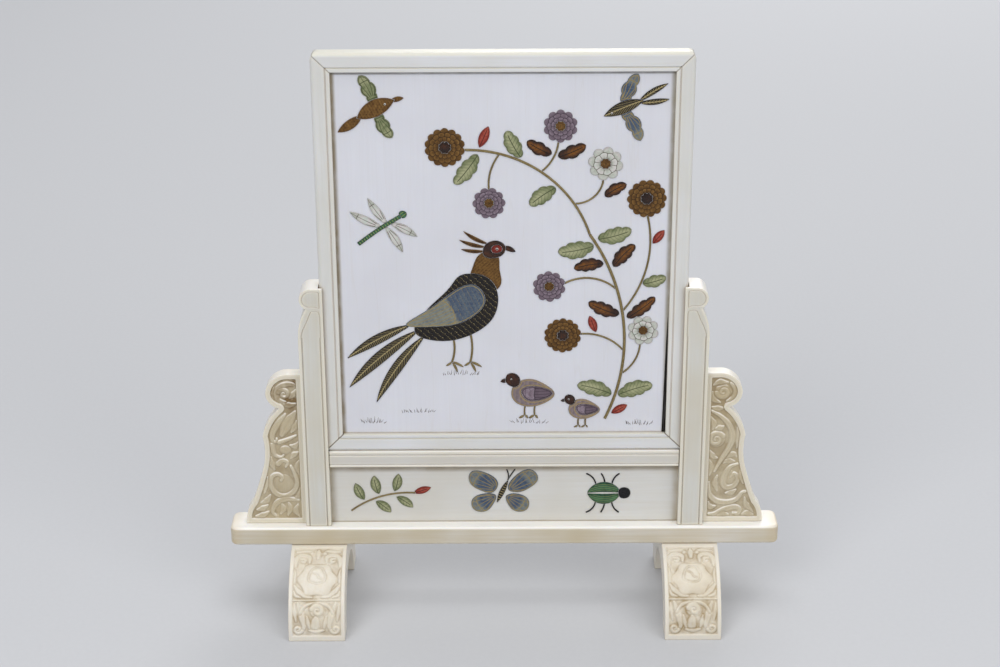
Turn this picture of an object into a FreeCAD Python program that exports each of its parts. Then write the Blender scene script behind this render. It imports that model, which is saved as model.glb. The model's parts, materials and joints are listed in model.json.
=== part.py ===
"""Inlaid ivory table screen: a framed panel that drops between the grooved posts of a footed stand.

Millimetres, +Z up, front face towards -Y, origin on the floor under the middle of the stand.
"""
import FreeCAD
import Part
import Sketcher
import math
import os
import re

Vector = FreeCAD.Vector

# Driving dimensions
SIZES = {
    # base plank
    "plank_overhang": 6.6,
    "plank_depth": 15.0,
    "plank_thick": 7.8,
    "plank_corner": 3.0,
    "plank_edge": 1.2,
    # arched feet
    "foot_width": 22.5,
    "foot_height": 29.0,
    "foot_span": 67.6,
    "foot_toe": 10.7,
    "foot_crown": 10.0,
    "foot_seat_cut": 0.6,
    # posts
    "post_gap": 140.2,
    "post_width": 10.0,
    "post_depth": 11.2,
    "post_height": 103.2,
    "post_lobe_radius": 4.4,
    "post_lobe_flat": 4.7,
    "post_notch_angle": 64.0,
    "post_shoulder_drop": 20.3,
    "post_bead": 1.2,
    "post_tenon_width": 5.0,
    "post_tenon_depth": 6.0,
    "post_tenon_bite": 4.0,
    # cross rail
    "rail_height": 6.9,
    "rail_depth": 9.2,
    "rail_top_bead": 1.4,
    "rail_low_bead": 0.9,
    "rail_tenon_length": 3.0,
    "rail_tenon_height": 3.2,
    "rail_tenon_depth": 4.0,
    # lower panel
    "lower_height": 26.0,
    "lower_thick": 3.4,
    "lower_tongue": 1.5,
    # spandrels and their dowels
    "spandrel_width": 24.3,
    "spandrel_height": 66.0,
    "spandrel_thick": 5.7,
    "spandrel_border": 1.9,
    "spandrel_sink": 1.2,
    "dowel_radius": 1.0,
    "dowel_bite": 4.0,
    "dowel_low": 14.0,
    "dowel_high": 44.0,
    "dowel_out": 12.0,
    # frame of the screen
    "screen_height": 163.0,
    "screen_engage": 1.3,
    "frame_width": 7.2,
    "frame_thick": 7.6,
    "frame_round": 1.5,
    "frame_bead": 1.5,
    "key_length": 3.2,
    "key_width": 3.0,
    "key_thick": 1.6,
    # panel and inlay
    "panel_thick": 4.0,
    "panel_tongue": 2.0,
    "inlay_depth": 0.8,
    "inlay_proud": 0.4,
    # engraved lines and clearances
    "line_width": 0.45,
    "line_depth": 0.4,
    "bead_round": 0.4,
    "slide_gap": 0.3,
    "fit_gap": 0.05,
}

# Places worked out from the driving dimensions, as formulas
PLANK_TOP = "(foot_height + plank_thick)"
RAIL_BOTTOM = f"({PLANK_TOP} + lower_height)"
RAIL_TOP = f"({RAIL_BOTTOM} + rail_height)"
POST_TOP = f"({PLANK_TOP} + post_height)"
POST_INNER = "(post_gap / 2)"
POST_OUTER = "(post_gap / 2 + post_width)"
POST_MIDDLE = "(post_gap / 2 + post_width / 2)"
PLANK_SIDE = f"({POST_OUTER} + spandrel_width + plank_overhang)"
SCREEN_SIDE = "(post_gap / 2 + screen_engage)"
SCREEN_TOP = f"({RAIL_TOP} + screen_height)"
FIELD_SIDE = f"({SCREEN_SIDE} - frame_width)"
FIELD_BOTTOM = f"({RAIL_TOP} + frame_width)"
FIELD_TOP = f"({SCREEN_TOP} - frame_width)"

# The round on a bead's edge leaves a flat on the bead and on the line beside it
RAIL_BEAD_ROUND = "min(bead_round; 0.8 * line_depth; 0.4 * rail_low_bead; 0.4 * rail_top_bead)"
FRAME_BEAD_ROUND = "min(bead_round; 0.8 * line_depth; 0.4 * frame_bead)"

doc = FreeCAD.newDocument("TableScreen")
sheet = doc.addObject("Spreadsheet::Sheet", "Sizes")
for row, (alias, size) in enumerate(SIZES.items(), start=1):
    sheet.set(f"A{row}", alias)
    sheet.set(f"B{row}", str(size))
    sheet.setAlias(f"B{row}", alias)
doc.recompute()


def formula(text):
    """Gives the text with every size written as a cell of the sheet."""
    return re.sub(r"[a-z_]+", lambda word: f"Sizes.{word[0]}" if word[0] in SIZES else word[0], text)


def number(text):
    """Works a formula out with the sheet's present values."""
    return float(sheet.evalExpression(formula(text)))


def bind(target, name, text):
    """Ties a property to the sheet."""
    target.setExpression(name, formula(text))


# Solids from blocks

def block(name, span_x, span_y, span_z):
    """Adds a box between two planes on each axis, given as pairs of formulas."""
    box = doc.addObject("Part::Box", name)
    for size, axis, (low, high) in zip(("Length", "Width", "Height"), "xyz", (span_x, span_y, span_z)):
        bind(box, size, f"({high}) - ({low})")
        bind(box, f"Placement.Base.{axis}", low)
    return box


def both(half):
    """Gives the two planes at a distance either side of the middle."""
    return f"-({half})", half


def fuse(name, pieces):
    """Joins overlapping or touching solids into one piece."""
    joined = doc.addObject("Part::MultiFuse", name)
    joined.Shapes = pieces
    joined.Refine = True
    return joined


def cut(name, base, tools):
    """Takes the tools out of a piece."""
    trimmed = doc.addObject("Part::Cut", name)
    trimmed.Base = base
    trimmed.Tool = tools[0] if len(tools) == 1 else fuse(f"{name}_tools", tools)
    return trimmed


def group(name, pieces):
    """Keeps several separate solids in one node."""
    together = doc.addObject("Part::Compound", name)
    together.Links = pieces
    return together


def mirror(name, source, normal=Vector(1, 0, 0), height="0"):
    """Adds the mirror image of a piece, by default left for right."""
    image = doc.addObject("Part::Mirroring", name)
    image.Source = source
    image.Normal = normal
    bind(image, "Base.z", height)
    return image


# Solids from sketches

def sketch_on(body, name, role):
    """Opens a sketch on one of the body's own origin planes."""
    sketch = body.newObject("Sketcher::SketchObject", name)
    plane = next(item for item in body.Origin.OriginFeatures if item.Role == role)
    sketch.AttachmentSupport = (plane, "")
    sketch.MapMode = "FlatFace"
    return sketch


def draw(sketch, path):
    """Draws a closed path of (x, y, arc) formulas.

    Arc is None, or the (radius, side) of the way to the next point: side is 1 where the arc's centre lies
    left of the chord and -1 where it lies right of it.
    """
    points = [Vector(number(x), number(y), 0) for x, y, arc in path]
    first = sketch.GeometryCount
    for index, (x, y, arc) in enumerate(path):
        start, end = points[index], points[(index + 1) % len(points)]
        if arc is None:
            sketch.addGeometry(Part.LineSegment(start, end), False)
            continue
        radius, side = arc
        chord = end - start
        rise = math.sqrt(max(number(radius) ** 2 - (chord.Length / 2) ** 2, 0))
        square = Vector(-chord.y, chord.x, 0).normalize()
        centre = start + chord / 2 + square * (rise * side)
        middle = centre - square * (number(radius) * side)
        sketch.addGeometry(Part.Arc(start, middle, end), False)
    for index, (x, y, arc) in enumerate(path):
        edge = first + index
        here = end_of(sketch, edge, points[index])
        before = first + (index - 1) % len(path)
        there = end_of(sketch, before, points[index])
        sketch.addConstraint(Sketcher.Constraint("Coincident", before, there, edge, here))
        for kind, text in (("DistanceX", x), ("DistanceY", y)):
            tie = sketch.addConstraint(Sketcher.Constraint(kind, edge, here, number(text)))
            bind(sketch, f"Constraints[{tie}]", text)
        if arc is not None:
            tie = sketch.addConstraint(Sketcher.Constraint("Radius", edge, number(arc[0])))
            bind(sketch, f"Constraints[{tie}]", arc[0])


def end_of(sketch, edge, place):
    """Tells which end of an edge, 1 or 2, lies at a place: an arc runs anticlockwise whatever its path."""
    reach = [(sketch.getPoint(edge, end) - place).Length for end in (1, 2)]
    return 1 + reach.index(min(reach))


def rounded(corners):
    """Turns square (x, y, radius) corners into a path whose corners with a radius are quarter rounds."""
    places = [(number(x), number(y)) for x, y, radius in corners]
    path = []
    for index, (x, y, radius) in enumerate(corners):
        if radius is None:
            path.append((x, y, None))
            continue
        before, here, after = places[index - 1], places[index], places[(index + 1) % len(places)]
        in_x, in_y = (math.copysign(1, b - a) if abs(b - a) > 1e-9 else 0 for a, b in zip(before, here))
        out_x, out_y = (math.copysign(1, b - a) if abs(b - a) > 1e-9 else 0 for a, b in zip(here, after))
        side = 1 if in_x * out_y - in_y * out_x > 0 else -1
        path.append((f"{x} - ({radius}) * {in_x:.0f}", f"{y} - ({radius}) * {in_y:.0f}", (radius, side)))
        path.append((f"{x} + ({radius}) * {out_x:.0f}", f"{y} + ({radius}) * {out_y:.0f}", None))
    return path


def pad(body, sketch, length):
    """Pads a sketch evenly to both sides of its plane."""
    feature = body.newObject("PartDesign::Pad", f"{sketch.Name}_pad")
    feature.Profile = sketch
    feature.SideType = "Symmetric"
    bind(feature, "Length", length)
    return feature


def new_body(name):
    """Opens a body for a piece shaped by sketches."""
    return doc.addObject("PartDesign::Body", f"{name}_body")


# Solids from flat outlines

def arc_through(start, middle, end):
    """Gives the arc through three (x, z) points of the front plane."""
    return Part.Arc(*(Vector(x, 0, z) for x, z in (start, middle, end))).toShape()


def line_between(start, end):
    """Gives the straight edge between two (x, z) points of the front plane."""
    return Part.LineSegment(*(Vector(x, 0, z) for x, z in (start, end))).toShape()


def filled(edges):
    """Fills a closed run of edges."""
    return Part.Face(Part.Wire(Part.sortEdges(edges)[0]))


def plate(name, face, low, high, level="0"):
    """Extrudes a flat outline between two depths along Y, raised to a level, all given as formulas."""
    outline = doc.addObject("Part::Feature", f"{name}_outline")
    outline.Shape = face
    bind(outline, "Placement.Base.y", low)
    bind(outline, "Placement.Base.z", level)
    solid = doc.addObject("Part::Extrusion", name)
    solid.Base = outline
    solid.DirMode = "Custom"
    solid.Dir = Vector(0, 1, 0)
    solid.Solid = True
    bind(solid, "LengthFwd", f"({high}) - ({low})")
    return solid


# Base plank

def base_plank():
    """The plank under everything, with rounded ends, through mortises and a groove for the lower panel."""
    body = new_body("base_plank")
    plan = sketch_on(body, "plank_plan", "XY_Plane")
    bind(plan, "AttachmentOffset.Base.z", "foot_height + plank_thick / 2")
    side, front = PLANK_SIDE, "plank_depth / 2"
    corners = [(f"-{side}", f"-{front}"), (side, f"-{front}"), (side, front), (f"-{side}", front)]
    draw(plan, rounded([(x, y, "plank_corner") for x, y in corners]))
    slab = pad(body, plan, "plank_thick")
    doc.recompute()
    level = [f"Face{index}" for index, face in enumerate(slab.Shape.Faces, start=1)
             if abs(face.normalAt(0, 0).z) > 0.99]
    eased = body.newObject("PartDesign::Fillet", "plank_eased")
    eased.Base = (slab, level)
    bind(eased, "Radius", "plank_edge")
    groove = block("plank_groove", both(POST_INNER), both("lower_thick / 2 + fit_gap"),
                   (f"{PLANK_TOP} - lower_tongue - fit_gap", f"{PLANK_TOP} + plank_edge"))
    right = block("plank_mortise", (f"{POST_MIDDLE} - post_tenon_width / 2 - fit_gap",
                                    f"{POST_MIDDLE} + post_tenon_width / 2 + fit_gap"),
                  both("post_tenon_depth / 2 + fit_gap"),
                  ("foot_height - plank_edge", f"{PLANK_TOP} + plank_edge"))
    pin = dowel_hole("plank_dowel_hole", "down")
    tools = [groove, right, mirror("plank_mortise_left", right), pin, mirror("plank_dowel_hole_left", pin)]
    return cut("base_plank", body, tools)


# Feet

def ellipse_face(half_width, half_height):
    """Gives the filled ellipse on the plane across the plank, about the middle of the floor."""
    wide, tall = Vector(0, half_width, 0), Vector(0, 0, half_height)
    major, minor = (wide, tall) if half_width >= half_height else (tall, wide)
    return Part.Face(Part.Wire(Part.Ellipse(major, minor, Vector(0, 0, 0)).toShape()))


def foot():
    """The right foot: half an elliptical arch, cut flat under the plank, mortised for the post's tenon."""
    half_span, height = number("foot_span / 2"), number("foot_height")
    outer = ellipse_face(half_span, number("foot_height + foot_seat_cut"))
    inner = ellipse_face(number("foot_span / 2 - foot_toe"), number("foot_height - foot_crown"))
    window = Part.Face(Part.makePolygon([Vector(0, -half_span, 0), Vector(0, half_span, 0),
                                         Vector(0, half_span, height), Vector(0, -half_span, height),
                                         Vector(0, -half_span, 0)]))
    outline = doc.addObject("Part::Feature", "foot_outline")
    outline.Shape = outer.cut(inner).common(window).Faces[0]
    bind(outline, "Placement.Base.x", f"{POST_MIDDLE} - foot_width / 2")
    arch = doc.addObject("Part::Extrusion", "foot_arch")
    arch.Base = outline
    arch.DirMode = "Custom"
    arch.Dir = Vector(1, 0, 0)
    arch.Solid = True
    bind(arch, "LengthFwd", "foot_width")
    mortise = block("foot_mortise", (f"{POST_MIDDLE} - post_tenon_width / 2 - fit_gap",
                                     f"{POST_MIDDLE} + post_tenon_width / 2 + fit_gap"),
                    both("post_tenon_depth / 2 + fit_gap"),
                    ("foot_height - post_tenon_bite - fit_gap", "foot_height + foot_seat_cut"))
    return cut("right_foot", arch, [mortise])


# Posts

NOTCH_X = f"({POST_INNER} + post_lobe_flat + post_lobe_radius * cos(post_notch_angle * 1deg))"
NOTCH_Z = f"({POST_TOP} - post_lobe_radius - post_lobe_radius * sin(post_notch_angle * 1deg))"
SHOULDER_Z = f"({POST_TOP} - post_shoulder_drop)"
SHOULDER_RADIUS = (f"((({POST_OUTER} - {NOTCH_X})^2 + ({NOTCH_Z} - {SHOULDER_Z})^2)"
                   f" / (2 * ({POST_OUTER} - {NOTCH_X})))")


def post():
    """The right post: a scroll top over a notched shoulder, grooves on the inner face, a tenon below."""
    body = new_body("right_post")
    front = sketch_on(body, "post_front", "XZ_Plane")
    lobe_x = f"{POST_INNER} + post_lobe_flat"
    lobe_side, lobe_z = f"{lobe_x} + post_lobe_radius", f"{POST_TOP} - post_lobe_radius"
    draw(front, [(POST_INNER, PLANK_TOP, None), (POST_OUTER, PLANK_TOP, None),
                 (POST_OUTER, SHOULDER_Z, (SHOULDER_RADIUS, 1)),
                 (NOTCH_X, NOTCH_Z, ("post_lobe_radius", 1)), (lobe_side, lobe_z, ("post_lobe_radius", 1)),
                 (lobe_x, POST_TOP, None), (POST_INNER, POST_TOP, None)])
    pad(body, front, "post_depth")
    tenon = block("post_tenon", (f"{POST_MIDDLE} - post_tenon_width / 2",
                                 f"{POST_MIDDLE} + post_tenon_width / 2"),
                  both("post_tenon_depth / 2"), ("foot_height - post_tenon_bite", PLANK_TOP))
    whole = fuse("post_whole", [body, tenon])
    slide = block("post_slide", (f"{POST_INNER} - slide_gap", f"{SCREEN_SIDE} + slide_gap"),
                  both("frame_thick / 2 + slide_gap"), (RAIL_TOP, f"{POST_TOP} + slide_gap"))
    mortise = block("post_mortise", (f"{POST_INNER} - fit_gap",
                                     f"{POST_INNER} + rail_tenon_length + fit_gap"),
                    both("rail_tenon_depth / 2 + fit_gap"), rail_tenon_span("fit_gap"))
    slot = block("post_slot", (f"{POST_INNER} - fit_gap", f"{POST_INNER} + lower_tongue + fit_gap"),
                 both("lower_thick / 2 + fit_gap"), (PLANK_TOP, RAIL_BOTTOM))
    holes = [dowel_hole(f"post_dowel_hole_{place}", place) for place in ("low", "high")]
    lines = []
    beads = {"inner": f"{POST_INNER} + post_bead", "outer": f"{POST_OUTER} - post_bead - line_width"}
    faces = {"front": ("-post_depth / 2 - line_depth", "-post_depth / 2 + line_depth"),
             "back": ("post_depth / 2 - line_depth", "post_depth / 2 + line_depth")}
    for place, low in beads.items():
        for face, span in faces.items():
            lines.append(block(f"post_line_{place}_{face}", (low, f"{low} + line_width"), span,
                               (PLANK_TOP, SHOULDER_Z)))
    return cut("right_post", whole, [slide, mortise, slot, *holes, *lines])


# Cross rail

def rail_tenon_span(gap):
    """Gives the height of the rail's tenon, or of its mortise with a gap."""
    middle = f"{RAIL_BOTTOM} + (lower_tongue + rail_height) / 2"
    return f"{middle} - rail_tenon_height / 2 - {gap}", f"{middle} + rail_tenon_height / 2 + {gap}"


def cross_rail():
    """The moulded rail that the screen rests on: beads along its edges, a tenon at each end."""
    body = new_body("cross_rail")
    section = sketch_on(body, "rail_section", "YZ_Plane")
    low_bead, top_bead = f"{RAIL_BOTTOM} + rail_low_bead", f"{RAIL_TOP} - rail_top_bead"
    face, sunk = "rail_depth / 2", "rail_depth / 2 - line_depth"
    rising = [(face, RAIL_BOTTOM, RAIL_BEAD_ROUND), (face, low_bead, RAIL_BEAD_ROUND),
              (sunk, low_bead, None), (sunk, f"{low_bead} + line_width", None),
              (face, f"{low_bead} + line_width", None),
              (face, f"{top_bead} - line_width", None), (sunk, f"{top_bead} - line_width", None),
              (sunk, top_bead, None), (face, top_bead, RAIL_BEAD_ROUND), (face, RAIL_TOP, RAIL_BEAD_ROUND)]
    falling = [(f"-({y})", z, radius) for y, z, radius in reversed(rising)]
    draw(section, rounded(rising + falling))
    pad(body, section, "post_gap")
    groove = block("rail_groove", both(f"{POST_INNER} + fit_gap"), both("lower_thick / 2 + fit_gap"),
                   (f"{RAIL_BOTTOM} - fit_gap", f"{RAIL_BOTTOM} + lower_tongue + fit_gap"))
    grooved = cut("rail_grooved", body, [groove])
    tenon = block("rail_tenon", (POST_INNER, f"{POST_INNER} + rail_tenon_length"),
                  both("rail_tenon_depth / 2"), rail_tenon_span("0"))
    return fuse("cross_rail", [grooved, tenon, mirror("rail_tenon_left", tenon)])


# Spandrels and dowels

# Outline of a spandrel in shares of its width and height, from the top corner at the post down to the toe:
# each arc is (point passed on the way, end point)
SPANDREL_START = (0.185, 1.0)
SPANDREL_ARCS = [
    ((0.502, 0.953), (0.588, 0.879)),
    ((0.543, 0.821), (0.374, 0.777)),
    ((0.551, 0.700), (0.667, 0.591)),
    ((0.642, 0.494), (0.679, 0.383)),
    ((0.793, 0.239), (0.885, 0.145)),
    ((0.967, 0.095), (1.0, 0.0)),
]


def spandrel():
    """The right spandrel: a carved wing, sunk inside a raised border on both faces, drilled for dowels."""
    inner, bottom = number(POST_OUTER), number(PLANK_TOP)
    width, height = number("spandrel_width"), number("spandrel_height")

    def place(share):
        return inner + share[0] * width, bottom + share[1] * height

    edges = [line_between(place((0, 0)), place((0, 1))),
             line_between(place((0, 1)), place(SPANDREL_START)),
             line_between(place((1, 0)), place((0, 0)))]
    start = SPANDREL_START
    for middle, end in SPANDREL_ARCS:
        edges.append(arc_through(place(start), place(middle), place(end)))
        start = end
    outline = filled(edges)
    slab = plate("spandrel_slab", outline, "-spandrel_thick / 2", "spandrel_thick / 2")
    field = outline.makeOffset2D(-number("spandrel_border"))
    sunk_front = plate("spandrel_sunk_front", field, "-spandrel_thick / 2 - spandrel_sink",
                       "-spandrel_thick / 2 + spandrel_sink")
    sunk_back = plate("spandrel_sunk_back", field, "spandrel_thick / 2 - spandrel_sink",
                      "spandrel_thick / 2 + spandrel_sink")
    holes = [dowel_hole(f"spandrel_dowel_hole_{place}", place) for place in ("low", "high", "down")]
    return cut("right_spandrel", slab, [sunk_front, sunk_back, *holes])


def dowel(name, place, gap="0"):
    """One dowel of the right spandrel: low and high go into the post, down goes into the plank."""
    pin = doc.addObject("Part::Cylinder", name)
    bind(pin, "Radius", f"dowel_radius + {gap}")
    bind(pin, "Height", f"2 * (dowel_bite + {gap})")
    if place == "down":
        bind(pin, "Placement.Base.x", f"{POST_OUTER} + dowel_out")
        bind(pin, "Placement.Base.z", f"{PLANK_TOP} - dowel_bite - {gap}")
    else:
        pin.Placement = FreeCAD.Placement(Vector(), FreeCAD.Rotation(Vector(0, 1, 0), 90))
        bind(pin, "Placement.Base.x", f"{POST_OUTER} - dowel_bite - {gap}")
        bind(pin, "Placement.Base.z", f"{PLANK_TOP} + dowel_{place}")
    return pin


def dowel_hole(name, place):
    """The hole that a dowel sits in, a fit's clearance larger all round."""
    return dowel(name, place, "fit_gap")


def spandrel_dowels():
    """The six hidden dowels of the two spandrels."""
    right = [dowel(f"dowel_{place}", place) for place in ("low", "high", "down")]
    left = [mirror(f"{pin.Name}_left", pin) for pin in right]
    return group("spandrel_dowels", right + left)


# Frame of the screen

def frame_section():
    """Gives (distance in from the outer edge, depth, radius) corners of a frame member."""
    face, bead, cheek = "frame_thick / 2", "frame_width - frame_bead", "panel_thick / 2 + fit_gap"
    floor = "frame_width - panel_tongue - fit_gap"
    return [("0", face, "frame_round"), ("0", f"-{face}", "frame_round"),
            (f"{bead} - line_width", f"-{face}", None),
            (f"{bead} - line_width", f"-{face} + line_depth", None),
            (bead, f"-{face} + line_depth", None), (bead, f"-{face}", FRAME_BEAD_ROUND),
            ("frame_width", f"-{face}", FRAME_BEAD_ROUND), ("frame_width", f"-({cheek})", None),
            (floor, f"-({cheek})", None), (floor, cheek, None), ("frame_width", cheek, None),
            ("frame_width", face, FRAME_BEAD_ROUND)]


def mitred(name, body, triangle):
    """Takes the two mitre wedges, one given and one mirrored, off a member, and the keys' slots."""
    feature = body.newObject("PartDesign::Pocket", f"{name}_mitres")
    feature.Profile = triangle
    feature.Type = "ThroughAll"
    feature.SideType = "Symmetric"
    body.Tip = feature
    slots = [mitre_key(f"{name}_slot_{corner}", corner, "fit_gap") for corner in range(4)]
    return cut(name, body, slots)


def top_rail():
    """The top member of the frame, mitred at both ends."""
    body = new_body("top_rail")
    section = sketch_on(body, "top_section", "YZ_Plane")
    draw(section, rounded([(y, f"{SCREEN_TOP} - ({inward})", radius)
                           for inward, y, radius in frame_section()]))
    pad(body, section, f"2 * {SCREEN_SIDE}")
    wedge = sketch_on(body, "top_wedges", "XZ_Plane")
    low, over = f"{SCREEN_TOP} - frame_width - slide_gap", f"{SCREEN_TOP} + slide_gap"
    near, far = f"{SCREEN_SIDE} - frame_width - slide_gap", f"{SCREEN_SIDE} + slide_gap"
    for sign in ("", "-"):
        draw(wedge, [(f"{sign}({near})", low, None), (f"{sign}({far})", low, None),
                     (f"{sign}({far})", over, None)])
    return mitred("frame_top_rail", body, wedge)


def stile():
    """The right member of the frame, mitred at both ends."""
    body = new_body("right_stile")
    section = sketch_on(body, "stile_section", "XY_Plane")
    bind(section, "AttachmentOffset.Base.z", f"{RAIL_TOP} + screen_height / 2")
    draw(section, rounded([(f"{SCREEN_SIDE} - ({inward})", y, radius)
                           for inward, y, radius in frame_section()]))
    pad(body, section, "screen_height")
    wedge = sketch_on(body, "stile_wedges", "XZ_Plane")
    near, far = f"{SCREEN_SIDE} - frame_width - slide_gap", f"{SCREEN_SIDE} + slide_gap"
    draw(wedge, [(near, f"{SCREEN_TOP} - frame_width - slide_gap", None),
                 (far, f"{SCREEN_TOP} + slide_gap", None), (near, f"{SCREEN_TOP} + slide_gap", None)])
    draw(wedge, [(near, f"{RAIL_TOP} + frame_width + slide_gap", None),
                 (near, f"{RAIL_TOP} - slide_gap", None), (far, f"{RAIL_TOP} - slide_gap", None)])
    return mitred("frame_right_stile", body, wedge)


def mitre_key(name, corner, gap="0"):
    """The hidden key across one mitre, counted from the top right corner round by the top left."""
    side = 1 if corner in (0, 3) else -1
    level = 1 if corner in (0, 1) else -1
    lean = side * level
    inset = "(frame_width - panel_tongue) / 2"
    middle_x = f"{side} * ({SCREEN_SIDE} - {inset})"
    middle_z = f"{RAIL_TOP} + screen_height / 2 + {level} * (screen_height / 2 - {inset})"
    length, width, thick = (f"({size} + 2 * {gap})" for size in ("key_length", "key_width", "key_thick"))
    key = doc.addObject("Part::Box", name)
    key.Placement = FreeCAD.Placement(Vector(), FreeCAD.Rotation(Vector(0, 1, 0), 45 * lean))
    bind(key, "Length", length)
    bind(key, "Width", thick)
    bind(key, "Height", width)
    bind(key, "Placement.Base.x", f"{middle_x} - sqrt(2) / 4 * ({length} + {lean} * {width})")
    bind(key, "Placement.Base.y", f"-{thick} / 2")
    bind(key, "Placement.Base.z", f"{middle_z} - sqrt(2) / 4 * ({width} - {lean} * {length})")
    return key


# Inlay outlines, drawn from the middle of a picture's lower edge in units of the picture, which is then
# fitted to its panel. Each is a function of how far the outline is grown: nothing for the piece, a
# clearance for its recess.

TIP_GROWTH = 1.6   # a point moves further out than the sides of the outline that it ends


def scalloped(side, lobes, outward, bulge_share=0.2):
    """Breaks an edge into lobes, each an arc that bulges outwards by a share of its chord."""
    points = side.discretize(lobes + 1)
    arcs = []
    for start, end in zip(points, points[1:]):
        chord = end - start
        square = Vector(-chord.z, 0, chord.x)
        if square.dot(outward) < 0:
            square = -square
        arcs.append(Part.Arc(start, start + chord / 2 + square * bulge_share, end).toShape())
    return arcs


def leaf(base, tip, width, sway=0.0, lobes=1):
    """A pointed leaf, feather or wing between two points, bowed sideways by sway, each side in lobes."""
    along = Vector(tip[0] - base[0], 0, tip[1] - base[1]).normalize()
    square = Vector(-along.z, 0, along.x)

    def grown(growth):
        ends = [Vector(base[0], 0, base[1]) - along * growth * TIP_GROWTH,
                Vector(tip[0], 0, tip[1]) + along * growth * TIP_GROWTH]
        middle = (ends[0] + ends[1]) / 2
        edges = []
        for outward in (square, -square):
            bow = middle + square * sway + outward * (width / 2 + growth)
            side = Part.Arc(ends[0], bow, ends[1]).toShape()
            edges += [side] if lobes == 1 else scalloped(side, lobes, outward)
        return filled(edges)

    return grown


def blossom(centre, radius, petals, turn=0.0, petal_depth=1.8):
    """A flower seen from above: round petals on a ring, each an arc between two notches.

    The more petals it has, the shallower the notches: their depth is a share of the radius over the count.
    """
    step = 2 * math.pi / petals
    notch = radius * (1 - petal_depth / petals)

    def spot(reach, angle):
        return centre[0] + reach * math.cos(angle), centre[1] + reach * math.sin(angle)

    def grown(growth):
        low, high = notch + growth * TIP_GROWTH, radius + growth
        edges = []
        for index in range(petals):
            angle = math.radians(turn) + index * step
            edges.append(arc_through(spot(low, angle), spot(high, angle + step / 2),
                                     spot(low, angle + step)))
        return filled(edges)

    return grown


def strip(start, middle, end, width):
    """A stem or leg of even width along an arc."""
    arc = arc_through(start, middle, end).Curve
    first, centre, last = (Vector(x, 0, z) - arc.Center for x, z in (start, middle, end))

    def grown(growth):
        longer = [first + (first - centre).normalize() * growth, centre,
                  last + (last - centre).normalize() * growth]
        rims = []
        for reach in (arc.Radius - width / 2 - growth, arc.Radius + width / 2 + growth):
            spots = [arc.Center + ray * (reach / ray.Length) for ray in longer]
            rims.append([(spot.x, spot.z) for spot in spots])
        near, far = rims
        return filled([arc_through(*near), line_between(near[2], far[2]),
                       arc_through(*far), line_between(far[0], near[0])])

    return grown


def pebble(points):
    """A smooth closed outline through a few points, given anticlockwise or clockwise."""
    places = [Vector(x, 0, z) for x, z in points]
    area = sum(a.x * b.z - b.x * a.z for a, b in zip(places, places[1:] + places[:1]))

    def smooth(through):
        curve = Part.BSplineCurve()
        curve.interpolate(Points=through, PeriodicFlag=True)
        return curve

    def grown(growth):
        curve = smooth(places)
        outward = []
        for place in places:
            way = curve.tangent(curve.parameter(place))[0]
            outward.append(place + Vector(way.z, 0, -way.x) * (growth * math.copysign(1, area)))
        return Part.Face(Part.Wire(smooth(outward).toShape()))

    return grown


def clear_of(piece, others, hairline=0.25):
    """Cuts a piece back where others lie over it or in it, with a hairline between them."""
    def grown(growth):
        face = piece(growth)
        for other in others:
            face = face.cut(other(hairline - growth))
        return max(face.Faces, key=lambda side: side.Area)

    return grown


def moved(points, dx, dz, size=1.0):
    """Moves a list of points, scaled about the origin first."""
    return [(x * size + dx, z * size + dz) for x, z in points]


def one_by_one(pieces, others):
    """Cuts each piece clear of others and of the pieces before it."""
    return [clear_of(piece, others + pieces[:place]) for place, piece in enumerate(pieces)]


def bead(centre, radius, points=6):
    """A small round piece."""
    angles = [2 * math.pi * place / points for place in range(points)]
    return pebble([(centre[0] + radius * math.cos(angle), centre[1] + radius * math.sin(angle))
                   for angle in angles])


def hearted(flowers, heart_share=0.3, heart_petals=8):
    """Gives blossoms, each with a hole for its heart, and the hearts."""
    hearts = [blossom(centre, radius * heart_share, heart_petals)
              for centre, radius, petals, turn in flowers]
    rings = [clear_of(blossom(*flower), [heart]) for flower, heart in zip(flowers, hearts)]
    return rings, hearts


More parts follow.
